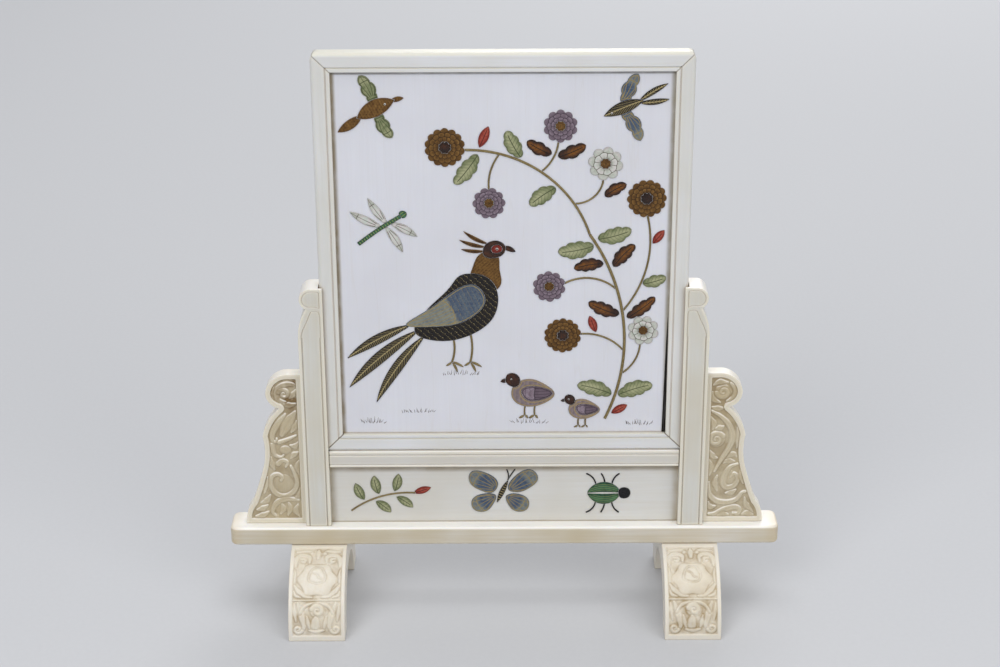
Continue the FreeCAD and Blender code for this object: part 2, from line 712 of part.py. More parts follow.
def flowering_branch():
    """The stems, leaves, blossoms and buds that rise on the right and arch over to the left."""
    gold = [((-22, 119), 7.6, 14, 0), ((54.5, 98.4), 7.5, 14, 15), ((23, 42), 7.2, 14, 25)]
    lilac = [((21.5, 127.2), 6.4, 10, 0), ((-5.5, 96.8), 6.2, 10, 20), ((17.6, 62.6), 6.3, 10, 40)]
    pearl = [((38.6, 112.4), 6.6, 8, 12), ((54.4, 44), 6.1, 8, 50)]
    stems = [strip((40, 6), (47, 44), (33, 84), 1.0), strip((33.2, 83.4), (16, 108), (-15.4, 118), 0.85),
             strip((46, 52), (55, 70), (54.9, 91.8), 0.65), strip((43.6, 61.4), (34, 66), (23, 63.6), 0.65),
             strip((46.1, 25.6), (51, 30.6), (53.3, 38.4), 0.6),
             strip((47.1, 35.2), (37, 42), (29.6, 42.6), 0.6),
             strip((14.2, 109.2), (19, 115), (20.8, 121.6), 0.6),
             strip((-1.4, 116.4), (-5, 109), (-5.5, 102.4), 0.6),
             strip((26.9, 96.5), (35, 99.8), (37.9, 106.6), 0.6)]
    stems = one_by_one(stems, [blossom(*flower) for flower in gold + lilac + pearl])
    gold, gold_hearts = hearted(gold)
    lilac, lilac_hearts = hearted(lilac)
    pearl, pearl_hearts = hearted(pearl)
    buds = [leaf((-9, 119), (-5.5, 127.2), 3.6), leaf((57.2, 80.2), (61.5, 85.6), 3.2),
            leaf((36, 43.4), (33.4, 50.2), 3.2), leaf((42.6, 8.4), (48.8, 12), 3.2)]
    green = [leaf((34.5, 79.6), (21, 77), 6.0, 0.8, 4), leaf((36.2, 82.4), (48.8, 86), 5.6, -0.8, 4),
             leaf((45.2, 16.2), (58.6, 20.5), 5.6, 0.8, 4), leaf((42.4, 16.6), (29, 20.6), 5.6, -0.8, 4),
             leaf((6.8, 115.2), (1.4, 125.4), 5.2, 0.6, 4),
             leaf((19.8, 102.8), (10.2, 95.8), 5.4, -0.6, 4),
             leaf((-9.8, 116.2), (-18.6, 104.6), 5.2, 0.6, 4),
             leaf((53.8, 63.8), (62.6, 66.4), 4.2, -0.5, 3)]
    brown = [leaf((42.4, 70.8), (50.4, 79.6), 4.6, 0.6, 4), leaf((38.4, 72), (27.2, 70), 4.4, -0.6, 4),
             leaf((44.9, 51), (33, 56), 4.6, 0.6, 4), leaf((47.9, 49.6), (58.6, 58), 4.0, -0.6, 4),
             leaf((18.2, 116.4), (9, 121.4), 4.2, 0.5, 3), leaf((20.6, 115.4), (31, 119.8), 4.2, -0.5, 3),
             leaf((38.6, 99.4), (46.6, 104.2), 3.8, 0.5, 3)]
    return {"branch_stems": stems, "gold_blossoms": gold, "lilac_blossoms": lilac, "pearl_blossoms": pearl,
            "dark_hearts": gold_hearts, "gold_hearts": lilac_hearts + pearl_hearts,
            "coral_buds": buds, "green_leaves": green, "brown_leaves": brown}


def pheasant():
    """The long-tailed bird that stands at the left."""
    wing = pebble([(-8, 60), (-12, 63.5), (-21, 59.5), (-31, 52),
                   (-38, 46.8), (-28, 46), (-16, 48), (-9, 53)])
    body = pebble([(-14, 68), (-3, 62), (-4, 50), (-14, 42),
                   (-26, 40), (-34.5, 43.4), (-29, 54), (-20, 63.5)])
    head = pebble([(-7.8, 76.4), (-6.6, 80.2), (-2.8, 81.6), (0.6, 79.3), (0.2, 76.6), (-3.8, 74.6)])
    neck = pebble([(-14, 65.5), (-11.6, 71.5), (-8.4, 76.5), (-2.4, 75.6), (-1.6, 70), (-1, 64), (-7, 60)])
    face = pebble([(-4.4, 77.3), (-4.2, 79.1), (-2.4, 79.8), (-0.8, 79), (-0.7, 77.6), (-2.5, 76.7)])
    beak = leaf((-0.6, 79), (4.6, 77), 2.0, 0.3)
    crest = [leaf((-5.4, 80.2), (-15.4, 85.6), 1.5, 0.7), leaf((-6.4, 79), (-17, 82), 1.5, 0.6),
             leaf((-6.8, 77.4), (-16.4, 78.2), 1.4, 0.5)]
    tail = [leaf((-32.6, 44.8), (-61, 20), 4.8, -1.6), leaf((-35.8, 46.8), (-61.4, 32.6), 4.0, -1.2),
            leaf((-30.4, 42.6), (-50.5, 13.4), 4.2, -1.6)]
    legs = [strip((-13.2, 43.6), (-12.4, 36), (-13.2, 30.8), 0.7),
            strip((-20.2, 42.6), (-19.4, 35), (-20.4, 30.8), 0.7)]
    for ankle in (-13.2, -20.4):
        legs += [leaf((ankle, 31), (ankle + 4.6, 28.6), 0.9, 0.2),
                 leaf((ankle, 30.8), (ankle + 2.2, 26.4), 0.9, 0.2),
                 leaf((ankle, 31), (ankle - 2.4, 29.2), 0.8, 0.2)]
    return {
        "pheasant_body": [clear_of(body, [wing])],
        "pheasant_wing": [wing],
        "pheasant_neck": [clear_of(neck, [body, head])],
        "pheasant_head": [clear_of(head, [face]), clear_of(beak, [head])],
        "pheasant_face": [face],
        "pheasant_crest": one_by_one(crest, [head]),
        "pheasant_tail": one_by_one(tail, [body, wing]),
        "pheasant_legs": one_by_one(legs, [body]),
    }


QUAIL_BODY = [(-9, 1), (-7, 6), (-1, 8.4), (6, 6), (11, 0.6), (6, -4), (-1, -5.6), (-7, -3.4)]
QUAIL_WING = [(-4, 3), (2, 4.6), (10, 1), (4, -2.2), (-3, -1)]
QUAIL_HEAD = [(-11.6, 9), (-9.4, 11.4), (-6.4, 10.6), (-5, 7.6), (-7, 4.6), (-10.6, 5.8)]


def quails():
    """The two small ground birds beside the branch's foot."""
    bodies, wings, heads, legs = [], [], [], []
    for dx, dz, size in ((10.6, 16.2, 0.85), (31.2, 9.4, 0.62)):
        body, wing, head = (pebble(moved(shape, dx, dz, size))
                            for shape in (QUAIL_BODY, QUAIL_WING, QUAIL_HEAD))
        bodies.append(clear_of(body, [wing, head]))
        wings.append(wing)
        beak = moved([(-10.4, 8.6), (-14, 7.2)], dx, dz, size)
        heads += [head, clear_of(leaf(*beak, 2.0 * size, 0.2), [head])]
        for foot_x in (-2.4, 2.2):
            leg = moved([(foot_x, -4), (foot_x - 0.5, -7.4), (foot_x - 0.4, -10)], dx, dz, size)
            front_toe = moved([(foot_x - 0.3, -9.8), (foot_x - 3.2, -11.6)], dx, dz, size)
            back_toe = moved([(foot_x - 0.3, -9.8), (foot_x + 1, -11.8)], dx, dz, size)
            legs += one_by_one([strip(*leg, 0.55), leaf(*front_toe, 1.0 * size, 0.1),
                                leaf(*back_toe, 0.9 * size, 0.1)], [body])
    return {"quail_bodies": bodies, "quail_wings": wings, "quail_heads": heads, "quail_legs": legs}


def flying_creatures():
    """The swallow, the finch and the dragonfly in the air round the branch."""
    swallow = leaf((52.4, 137.2), (37.6, 131), 4.6, -0.3)
    finch = leaf((-54.6, 130.6), (-40.6, 137.6), 6.4, 0.4)
    fork = [leaf((50.4, 136.6), (61.4, 143.6), 2.2, 0.4), leaf((50.6, 136.2), (62, 137.6), 2.2, -0.4)]
    finch_ends = [leaf((-52.6, 131.8), (-62, 125.2), 3.6, 0.3), leaf((-42.2, 137), (-37, 138.4), 1.9, 0.2)]
    needle = strip((-39.4, 91.6), (-47, 86.8), (-55.6, 80.4), 1.5)
    return {
        "swallow_body": [swallow] + one_by_one(fork, [swallow]),
        "swallow_wings": one_by_one([leaf((45.2, 134.8), (50.2, 147.2), 4.2, 1.0, 3),
                                     leaf((44.4, 133.6), (51.5, 121.4), 4.2, 1.0, 3)], [swallow]),
        "finch_body": [finch] + one_by_one(finch_ends, [finch]),
        "finch_wings": one_by_one([leaf((-48, 135.8), (-53.4, 147), 4.4, -0.8, 3),
                                   leaf((-47, 133), (-41.6, 123), 4.2, -0.8, 3)], [finch]),
        "dragonfly_body": [needle, clear_of(bead((-38.4, 92.4), 1.5), [needle])],
        "dragonfly_wings": one_by_one([leaf((-44.2, 88.4), (-51.6, 99), 3.2, 0.4),
                                       leaf((-46.2, 87.2), (-58.6, 93.6), 3.2, 0.4),
                                       leaf((-43.4, 89), (-33, 83.4), 3.2, 0.4),
                                       leaf((-45.4, 87.8), (-38.6, 77), 3.2, 0.4)], [needle]),
    }


def lower_picture():
    """The sprig, butterfly and beetle of the lower panel."""
    spine = 12.6
    head = pebble([(46.2, 12.6), (47.8, 15), (50.4, 14.2), (50.4, 11), (47.8, 10.2)])
    shell = [leaf((33.6, spine + out * 0.2), (47, spine + out * 0.2), 4.4, out * 2.5) for out in (1, -1)]
    legs = []
    for out in (-1, 1):
        for along, lean in ((36.6, -1.6), (40.4, -0.6), (43.8, 1.2)):
            legs.append(strip((along - lean * 0.2, spine + out * 2.8),
                              (along + lean * 0.6, spine + out * 7),
                              (along + lean * 2.2, spine + out * 8.8), 0.5))
    stalk = strip((-62, 5), (-50, 11.4), (-36, 13), 0.6)
    thorax = leaf((-3, 8.4), (1.6, 18.6), 2.0, 0.1)
    feelers = [strip((1.4, 18.2), (1.7, 20.8), (1, 23.4), 0.4),
               strip((1.5, 18.2), (2.7, 21), (4.4, 23.4), 0.4)]
    return {
        "sprig_stem": [stalk],
        "sprig_leaves": [leaf((-56.6, 10), (-60, 17.4), 3.8, 0.4),
                         leaf((-50.6, 12.6), (-52.4, 20.8), 4.0, 0.4),
                         leaf((-44.4, 13.8), (-42.6, 21.6), 3.8, -0.4),
                         leaf((-52, 9.2), (-46, 4.2), 3.8, 0.4),
                         leaf((-43.6, 11.2), (-37, 6.4), 3.6, 0.4)],
        "sprig_buds": [clear_of(leaf((-36.6, 13), (-29.6, 15.4), 2.9), [stalk])],
        "butterfly_body": [thorax] + one_by_one(feelers, [thorax]),
        "butterfly_wings": [pebble(shape) for shape in (
            [(1.6, 14.6), (4.6, 20.6), (11.4, 23), (13.6, 19.4), (10, 15), (4.6, 13.2)],
            [(1.2, 11.8), (6, 12.2), (9.8, 9.4), (9, 5.2), (5, 4.4), (1.4, 8)],
            [(-2.6, 16.2), (-7.6, 22), (-13.6, 22), (-14, 18), (-9.4, 14), (-4.6, 13.2)],
            [(-3.8, 12), (-8.6, 12.4), (-13, 9.6), (-12.4, 5.4), (-8, 4.4), (-4.4, 8)])],
        "beetle_shell": one_by_one(shell, [head]),
        "beetle_head": [head],
        "beetle_legs": one_by_one(legs, shell),
    }


def picture_scale(drawn_width, drawn_height, width, height):
    """Gives the scale at which a picture just fits a panel, whose width and height are formulas."""
    return min(number(width) / drawn_width, number(height) / drawn_height)


def resized(outline, scale):
    """Gives an outline at the picture's scale, or the outline itself where the picture is at full size."""
    return outline if math.isclose(scale, 1.0) else outline.scaled(scale)


def let_in(name, slab, figures, scale, bottom, face):
    """Lets a picture into the front of a slab: gives the slab with its recesses, and the pieces.

    Bottom is the height of the picture's lower edge and face the depth of the slab's front, as formulas.
    """
    pieces, recesses = [], []
    for node, outlines in figures.items():
        drawn = [resized(outline(0), scale) for outline in outlines]
        grown = [resized(outline(number("fit_gap") / scale), scale) for outline in outlines]
        floor = f"{face} + inlay_depth"
        pieces.append(plate(node, Part.makeCompound(drawn), f"{face} - inlay_proud", floor, bottom))
        recesses.append(plate(f"{node}_recess", Part.makeCompound(grown), f"{face} - inlay_depth", floor,
                              bottom))
    return cut(name, slab, [group(f"{name}_recesses", recesses)]), pieces


def main_panel():
    """The ivory slab of the screen with its picture."""
    slab = block("main_slab", both(f"{FIELD_SIDE} + panel_tongue"), both("panel_thick / 2"),
                 (f"{FIELD_BOTTOM} - panel_tongue", f"{FIELD_TOP} + panel_tongue"))
    scale = picture_scale(128.4, 148.6, f"2 * {FIELD_SIDE}", f"{FIELD_TOP} - {FIELD_BOTTOM}")
    figures = {**flowering_branch(), **pheasant(), **quails(), **flying_creatures()}
    return let_in("main_panel", slab, figures, scale, FIELD_BOTTOM, "-panel_thick / 2")


def lower_panel():
    """The panel under the cross rail, tongued on four edges, with its picture."""
    wide = block("lower_wide", both(f"{POST_INNER} + lower_tongue"), both("lower_thick / 2"),
                 (f"{PLANK_TOP} + fit_gap", f"{RAIL_BOTTOM} - fit_gap"))
    tall = block("lower_tall", both(f"{POST_INNER} - fit_gap"), both("lower_thick / 2"),
                 (f"{PLANK_TOP} - lower_tongue", f"{RAIL_BOTTOM} + lower_tongue"))
    slab = fuse("lower_slab", [wide, tall])
    scale = picture_scale(140.2, 26.0, "post_gap", "lower_height")
    return let_in("lower_panel", slab, lower_picture(), scale, PLANK_TOP, "-lower_thick / 2")


# The whole object, node by node

right_foot, right_post, right_spandrel = foot(), post(), spandrel()
frame_top, frame_right = top_rail(), stile()
panel, panel_inlays = main_panel()
low_panel, low_inlays = lower_panel()
nodes = [
    base_plank(),
    right_foot, mirror("left_foot", right_foot),
    right_post, mirror("left_post", right_post),
    right_spandrel, mirror("left_spandrel", right_spandrel),
    spandrel_dowels(),
    cross_rail(),
    low_panel, *low_inlays,
    frame_top, mirror("frame_bottom_rail", frame_top, Vector(0, 0, 1), f"{RAIL_TOP} + screen_height / 2"),
    frame_right, mirror("frame_left_stile", frame_right),
    group("frame_mitre_keys", [mitre_key(f"mitre_key_{corner}", corner) for corner in range(4)]),
    panel, *panel_inlays,
]
doc.recompute()

# Every object has to be sound before anything is written
for item in doc.Objects:
    if {"Invalid", "Error"} & set(item.State):
        raise RuntimeError(f"{item.Name} did not build: {item.State}")
for node in nodes:
    node.Label = node.Name
    if node.Shape.isNull() or not node.Shape.isValid() or not node.Shape.Solids:
        raise RuntimeError(f"{node.Name} has no sound solid")

os.makedirs("parts", exist_ok=True)
for node in nodes:
    node.Shape.exportStep(f"parts/{node.Label}.step")
    print(f"{node.Label}: {len(node.Shape.Solids)} solids, {node.Shape.Volume:.1f} mm3")
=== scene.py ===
"""Looks of the inlaid ivory table screen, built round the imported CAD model.

Sizes are in millimetres and become metres where Blender takes them. The front faces -Y.
"""
import json
import math
from contextlib import contextmanager
from functools import partial

import bpy
import numpy as np
from mathutils import Matrix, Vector
from mathutils.kdtree import KDTree


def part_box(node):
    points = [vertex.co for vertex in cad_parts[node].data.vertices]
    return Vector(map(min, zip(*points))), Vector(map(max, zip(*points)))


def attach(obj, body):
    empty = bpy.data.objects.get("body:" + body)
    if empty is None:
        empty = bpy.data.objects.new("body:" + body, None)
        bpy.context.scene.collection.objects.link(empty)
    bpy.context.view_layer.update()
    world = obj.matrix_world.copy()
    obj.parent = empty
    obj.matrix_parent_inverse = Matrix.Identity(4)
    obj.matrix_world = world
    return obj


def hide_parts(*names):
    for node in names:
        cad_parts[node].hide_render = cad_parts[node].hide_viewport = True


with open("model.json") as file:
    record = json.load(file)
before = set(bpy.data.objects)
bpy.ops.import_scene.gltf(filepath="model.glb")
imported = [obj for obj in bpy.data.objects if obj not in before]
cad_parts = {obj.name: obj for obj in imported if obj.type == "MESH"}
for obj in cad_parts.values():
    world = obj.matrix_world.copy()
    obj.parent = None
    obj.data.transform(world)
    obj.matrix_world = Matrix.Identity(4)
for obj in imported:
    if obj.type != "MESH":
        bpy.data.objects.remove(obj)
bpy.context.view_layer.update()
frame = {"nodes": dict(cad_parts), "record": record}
nodes = frame["nodes"]
MM = 0.001


def corners(name):
    """Gives the lowest and the highest corner of a CAD node, in millimetres."""
    return [np.array(corner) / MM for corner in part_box(name)]


# Places taken from the frame: the screen, its field, the lower panel and the plank
SLOTS = {part["node"]: part["material_slot"] for part in frame["record"]["subparts"]}
SCREEN_LOW, SCREEN_HIGH = corners("frame_bottom_rail")[0], corners("frame_top_rail")[1]
FIELD_SIDE, FIELD_FACE = corners("frame_right_stile")[0][0], corners("main_panel")[1][1]
FIELD_LOW, FIELD_TOP = corners("frame_bottom_rail")[1][2], corners("frame_top_rail")[0][2]
LOW_SIDE, LOW_FACE = corners("right_post")[0][0], corners("lower_panel")[1][1]
LOW_BOTTOM, LOW_TOP = corners("base_plank")[1][2], corners("cross_rail")[0][2]
PLANK_END = corners("base_plank")[1][0]
INLAY_FRONT = corners("pheasant_head")[0][1]


# Materials

def linear(colour):
    """Turns an sRGB hex colour into linear red, green, blue and alpha."""
    parts = [int(colour[place:place + 2], 16) / 255 for place in (1, 3, 5)]
    return [part / 12.92 if part <= 0.04045 else ((part + 0.055) / 1.055) ** 2.4 for part in parts] + [1.0]


def feed(node, inputs):
    """Sets a node's sockets to values, or links them to the nodes and sockets given for them."""
    for socket, value in inputs.items() if isinstance(inputs, dict) else enumerate(inputs):
        if isinstance(value, bpy.types.Node):
            value = value.outputs[0]
        if isinstance(value, bpy.types.NodeSocket):
            node.id_data.links.new(value, node.inputs[socket])
        else:
            node.inputs[socket].default_value = value


def add_node(tree, kind, inputs=(), **settings):
    """Adds a shader node with these properties to a tree and feeds its sockets."""
    node = tree.nodes.new(f"ShaderNode{kind}")
    for name, value in settings.items():
        setattr(node, name, value)
    feed(node, inputs)
    return node


def new_material(name):
    """Opens a material and gives it, what adds its nodes, its main shader and its Object coordinates."""
    material = bpy.data.materials.new(name)
    material.use_nodes = True
    add = partial(add_node, material.node_tree)
    shader = next(node for node in material.node_tree.nodes if node.type == "BSDF_PRINCIPLED")
    return material, add, shader, add("TexCoord").outputs["Object"]


def per(size):
    """Scale of a texture whose features are this many millimetres across."""
    return 1 / (size * MM)


def ivory_grain(add, place, along, grain, pale, deep, patina):
    """Two tones in fine grain and broad clouds, with hairline age lines along the grain."""
    grain_share = add("MapRange", [grain, 0.38, 0.72, 0.0, 0.5])
    cloud = add("TexNoise", {"Vector": place, "Scale": per(34), "Detail": 2.0})
    cloud_share = add("MapRange", [cloud, 0.40, 0.66, 0.0, 0.8])
    tone = add("MixRGB", [grain_share, linear(pale), linear(deep)])
    tone = add("MixRGB", [cloud_share, tone, linear(deep)])
    line = add("TexNoise", {"Vector": along, "Scale": per(4.5), "Detail": 1.0})
    line = add("Math", [line, 0.5], operation="SUBTRACT")
    line = add("Math", [line], operation="ABSOLUTE")
    line = add("MapRange", [line, 0.0, 0.008, 0.06, 0.0])
    return add("MixRGB", [line, tone, linear(patina)])


def aged_carving(add, tone, place, patina, ground_share, rim_tone):
    """Brown, uneven dirt in the ground of a carving, and the paler rim round it."""
    height = add("Attribute", attribute_name="carving").outputs["Fac"]
    ground = add("MapRange", [height, -0.95, 0.95, 2 * ground_share, 0.0])
    stain = add("TexNoise", {"Vector": place, "Scale": per(5), "Detail": 3.0})
    stain = add("MapRange", [stain, 0.40, 0.62, 0.2, 1.0])
    ground = add("Math", [ground, stain], operation="MULTIPLY")
    tone = add("MixRGB", [ground, tone, linear(patina)])
    rim = add("MapRange", [height, 0.97, 1.0, 0.0, 0.65])
    return add("MixRGB", [rim, tone, linear(rim_tone)])


def mitre_lines(add, tone, ways):
    """Soiled mitres at the corners of the frame, fainter towards its top."""
    middle = (SCREEN_HIGH[2] + SCREEN_LOW[2]) / 2
    excess = (SCREEN_HIGH[2] - SCREEN_LOW[2]) / 2 - SCREEN_HIGH[0]
    side = add("Math", [ways.outputs["X"]], operation="ABSOLUTE")
    off = ways.outputs["Z"]
    for operation, value in (("SUBTRACT", middle * MM), ("ABSOLUTE", 0.0), ("SUBTRACT", side),
                             ("SUBTRACT", excess * MM), ("ABSOLUTE", 0.0)):
        off = add("Math", [off, value], operation=operation)
    joint = add("MapRange", [off, 0.12 * MM, 0.46 * MM, 0.85, 0.0])
    faint = add("MapRange", [ways.outputs["Z"], 100 * MM, 210 * MM, 1.0, 0.5])
    joint = add("Math", [joint, faint], operation="MULTIPLY")
    return add("MixRGB", [joint, tone, linear("#5a4b35")])


def joint_dirt_and_shade(add, tone, place, ways, seams):
    """Dirt and painted shade along joints: each seam has an axis, a place on it, a length, a share and a
    tone.
    """
    blot = add("TexNoise", {"Vector": place, "Scale": per(7), "Detail": 3.0})
    blot = add("MapRange", [blot, 0.3, 0.6, 0.7, 1.0])
    for axis, start, fade, share, dirt_and_shade_tone in seams:
        spread = [ways.outputs[axis], start * MM, (start + fade) * MM, share, 0.0]
        # each seam's share: dirt, and at some seams painted shade
        dirt = add("MapRange", spread, interpolation_type="SMOOTHSTEP")
        dirt = add("Math", [dirt, blot], operation="MULTIPLY")
        tone = add("MixRGB", [dirt, tone, linear(dirt_and_shade_tone)])
    return tone


def ivory(name, pale, deep, patina, stretch, hollow_patina_and_shade, wear_and_highlight=0.0, carved=None, seams=(), top=None,
          mitred=False, painted_cut_shade=None, reach=0.7):
    """Polished ivory: dense and waxy, light sinks in a little, faint grain along the tusk, brown in crevices.

    Pale and deep are its two tones, patina the tone of age, and stretch the grain's direction. The hollow
    share is how much patina, which also stands for painted shade, lies in its hollows, and reach how far it
    spreads; the edge share is how pale its rubbed edges are, partly wear and partly a painted highlight;
    carved is the dirt in its carving and the tone of the rim; and top is the tone painted on faces that look
    up, as painted light and shade from above. Seams are its joints: soiled, and at some a painted shade. The
    cut tone is the painted shade deep in a slab's cuts, with the depth of its faces from its middle.
    """
    material, add, shader, place = new_material(name)
    ways = add("SeparateXYZ", [place])
    along = add("Mapping", {"Vector": place, "Scale": stretch})
    grain = add("TexNoise", {"Vector": along, "Scale": per(1.1), "Detail": 3.0, "Roughness": 0.6})
    tone = ivory_grain(add, place, along, grain, pale, deep, patina)
    if wear_and_highlight:
        # rubbed edges painted pale cream: partly wear, partly a painted highlight
        edge = add("AmbientOcclusion", {"Distance": 1.3 * MM}, samples=8, inside=True)
        edge = add("MapRange", [edge.outputs["AO"], 0.98, 0.62, 0.0, wear_and_highlight])
        tone = add("MixRGB", [edge, tone, linear("#f1ebd9")])
    if carved:
        tone = aged_carving(add, tone, place, patina, *carved)
    # faces that look up take the top tone, as painted light from above (on the rails, painted shade)
    if top:
        up = add("SeparateXYZ", [add("NewGeometry").outputs["Normal"]])
        up = add("MapRange", [up.outputs["Z"], 0.25, 0.6, 0.0, 0.9])
        tone = add("MixRGB", [up, tone, linear(top)])
    if mitred:
        tone = mitre_lines(add, tone, ways)
    if seams:
        tone = joint_dirt_and_shade(add, tone, place, ways, seams)
    # patina gathers in hollows and contacts, and this also paints shade there
    hollow = add("AmbientOcclusion", {"Distance": reach * MM}, samples=8)
    hollow = add("MapRange", [hollow.outputs["AO"], 0.92, 0.30, 0.0, hollow_patina_and_shade])
    tone = add("MixRGB", [hollow, tone, linear(patina)])
    # painted shade deep in a slab's cuts, darkest at their bottoms: round the inlays and in the shrunk joint
    if painted_cut_shade:
        cut_shade_tone, face = painted_cut_shade
        cut = add("Math", [ways.outputs["Y"]], operation="ABSOLUTE")
        cut = add("MapRange", [cut, (face - 0.04) * MM, (face - 0.16) * MM, 0.0, 0.98])
        tone = add("MixRGB", [cut, tone, linear(cut_shade_tone)])
    rough = add("MapRange", [grain, 0.3, 0.7, 0.28, 0.40])
    bump = add("Bump", {"Height": grain, "Strength": 0.2, "Distance": 0.03 * MM})
    feed(shader, {"Base Color": tone, "Roughness": rough, "Normal": bump, "IOR": 1.54,
                  "Subsurface Weight": 0.12, "Subsurface Radius": (1.0, 0.75, 0.45),
                  "Subsurface Scale": 1.0 * MM})
    return material


UPRIGHT, LEVEL = (1.0, 1.0, 0.03), (0.03, 1.0, 1.0)
# the field's top seam is a painted shadow of the top rail; its side seams are dirt with painted shade of the
# frame's inner edge
FIELD_SEAMS = (
    ("X", -FIELD_SIDE + 0.5, 1.6, 0.85, "#85744f"), ("X", FIELD_SIDE - 0.5, -1.7, 0.75, "#8f8463"),
    ("Z", FIELD_TOP - 0.9, -0.6, 0.7, "#6f6a60"), ("Z", FIELD_LOW, 0.8, 0.45, "#a08658"),
)
# the lower panel's top seam is a painted shadow of the cross rail
LOW_SEAMS = (
    ("Z", LOW_TOP - 2.0, -2.2, 0.65, "#85714d"), ("X", -LOW_SIDE, 3.4, 0.6, "#a3906c"),
    ("X", LOW_SIDE, -3.4, 0.6, "#a3906c"), ("Z", LOW_BOTTOM, 0.6, 0.4, "#a08658"),
)
CROSS_SEAMS = (("X", -LOW_SIDE, 0.5, 1.2, "#4a3c28"), ("X", LOW_SIDE, -0.5, 1.2, "#4a3c28"))
PLANK_SEAMS = (("X", -PLANK_END, 7.0, 0.5, "#c4ac78"), ("X", PLANK_END, -7.0, 0.5, "#c4ac78"))

# cool white slab of the picture, with painted shade in its cuts and along its top joint
ivory_field = ivory("polished ivory slab", "#e2e3ea", "#dcdce2", "#b9a47c", UPRIGHT, 0.3,
                    seams=FIELD_SEAMS, painted_cut_shade=("#20170a", FIELD_FACE))
# slab under the cross rail, a little yellowed, with painted shade in its cuts and under the rail
ivory_low = ivory("polished ivory slab, yellowed", "#dfdeda", "#d7d3c9", "#b39f74", LEVEL, 0.3,
                  seams=LOW_SEAMS, painted_cut_shade=("#3d2e16", LOW_FACE))
# moulded frame, whose grain follows each member; the stiles' hollow tone reaches far and paints the posts'
# shade on them
ivory_stile = ivory("polished ivory frame, upright grain", "#e1e1e0", "#d7d6cf", "#b08f68", UPRIGHT, 0.6, 0.4,
                    mitred=True, reach=2.4)
# the rails' faces that look up are painted a darker cream, as painted shade
ivory_rail = ivory("polished ivory frame, level grain", "#e2e3e5", "#dad9d4", "#b09a70", LEVEL, 0.3, 0.15,
                   top="#d9d6c8", mitred=True)
# members of the stand, paler at their rubbed edges, partly wear and partly a painted highlight, with a
# painted top light on faces that look up
ivory_post = ivory("polished ivory posts", "#d8d7d0", "#d2ccbc", "#8c7245", UPRIGHT, 0.6, 0.75, top="#f3efe8")
ivory_cross = ivory("polished ivory cross rail", "#d8d6d1", "#d2ccc0", "#a48e62", LEVEL, 0.3, 0.75,
                    seams=CROSS_SEAMS, top="#f4f1ec")
ivory_plank = ivory("polished ivory plank", "#dad4c8", "#c6b898", "#a48e62", LEVEL, 0.45, 0.8,
                    seams=PLANK_SEAMS, top="#fdfbf6")
# carved pieces, brown in the ground of their carving
# wings in tones darker than the feet's, as painted shade on their upright faces, with a painted top light
ivory_wing = ivory("carved ivory wings", "#cabea3", "#bfae89", "#7d6236", UPRIGHT, 0.25, 0.9,
                   (0.6, "#ebe4d3"), top="#f1ece2")
ivory_foot = ivory("carved ivory feet", "#e9e3d7", "#dfd4bd", "#9a7c43", UPRIGHT, 0.3, 0.5, (0.8, "#e9e3d7"))


# Tools for making pieces

def pick(piece):
    """Makes a piece the active one and the only one that is selected."""
    bpy.ops.object.select_all(action="DESELECT")
    bpy.context.view_layer.objects.active = piece
    piece.select_set(True)


def new_piece(name, data):
    """Adds a piece with this mesh or curve, and picks it."""
    piece = bpy.data.objects.new(name, data)
    bpy.context.collection.objects.link(piece)
    pick(piece)
    return piece


@contextmanager
def edit_mode():
    """Opens the active piece in edit mode with all of it selected, and closes it again."""
    bpy.ops.object.mode_set(mode="EDIT")
    bpy.ops.mesh.select_all(action="SELECT")
    yield
    bpy.ops.object.mode_set(mode="OBJECT")


def apply(piece, kind, **settings):
    """Works a modifier with these settings into a piece."""
    bpy.context.view_layer.objects.active = piece
    modifier = piece.modifiers.new(kind, kind)
    for name, value in settings.items():
        setattr(modifier, name, value)
    bpy.ops.object.modifier_apply(modifier=modifier.name)


def close_copy(name, title):
    """Gives a separate copy of a CAD node with its loose triangles merged."""
    piece = new_piece(title, nodes[name].data.copy())
    with edit_mode():
        bpy.ops.mesh.remove_doubles(threshold=0.001 * MM)
    return piece


def remesh(piece, voxel):
    """Gives a piece an even mesh with vertices a voxel apart."""
    apply(piece, "REMESH", mode="VOXEL", voxel_size=voxel * MM, use_smooth_shade=True)


def cut_away(piece, cutter):
    """Takes the shape of a cutter out of a piece."""
    apply(piece, "BOOLEAN", operation="DIFFERENCE", object=cutter)


def dress(piece, material, body, slot, *replaced):
    """Gives a finished piece its material, the body it rides on and the nodes it stands for; the slot is not
    used.
    """
    piece.data.materials.clear()
    piece.data.materials.append(material)
    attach(piece, body)
    if replaced:
        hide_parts(*replaced)


def read(piece):
    """Gives a piece's vertices in millimetres, and their normals."""
    places, normals = np.zeros((2, len(piece.data.vertices), 3), np.float32)
    piece.data.vertices.foreach_get("co", places.ravel())
    piece.data.vertex_normals.foreach_get("vector", normals.ravel())
    return places.astype(float) / MM, normals.astype(float)


def write(piece, places, **shares):
    """Puts a piece's vertices back, given in millimetres, and keeps named values on them."""
    piece.data.vertices.foreach_set("co", (places * MM).astype(np.float32).ravel())
    for name, values in shares.items():
        layer = piece.data.attributes.new(name, "FLOAT", "POINT")
        layer.data.foreach_set("value", np.asarray(values, np.float32))
    piece.data.update()


def reach_to(spots, targets):
    """Gives each spot's distance to the nearest target."""
    tree = KDTree(len(targets))
    for index, target in enumerate(targets):
        tree.insert(target, index)
    tree.balance()
    return np.array([tree.find(spot)[2] for spot in spots])


def ease(values, low, high):
    """Rises smoothly from 0 to 1 between two values."""
    share = np.clip((values - low) / (high - low), 0, 1)
    return share * share * (3 - 2 * share)


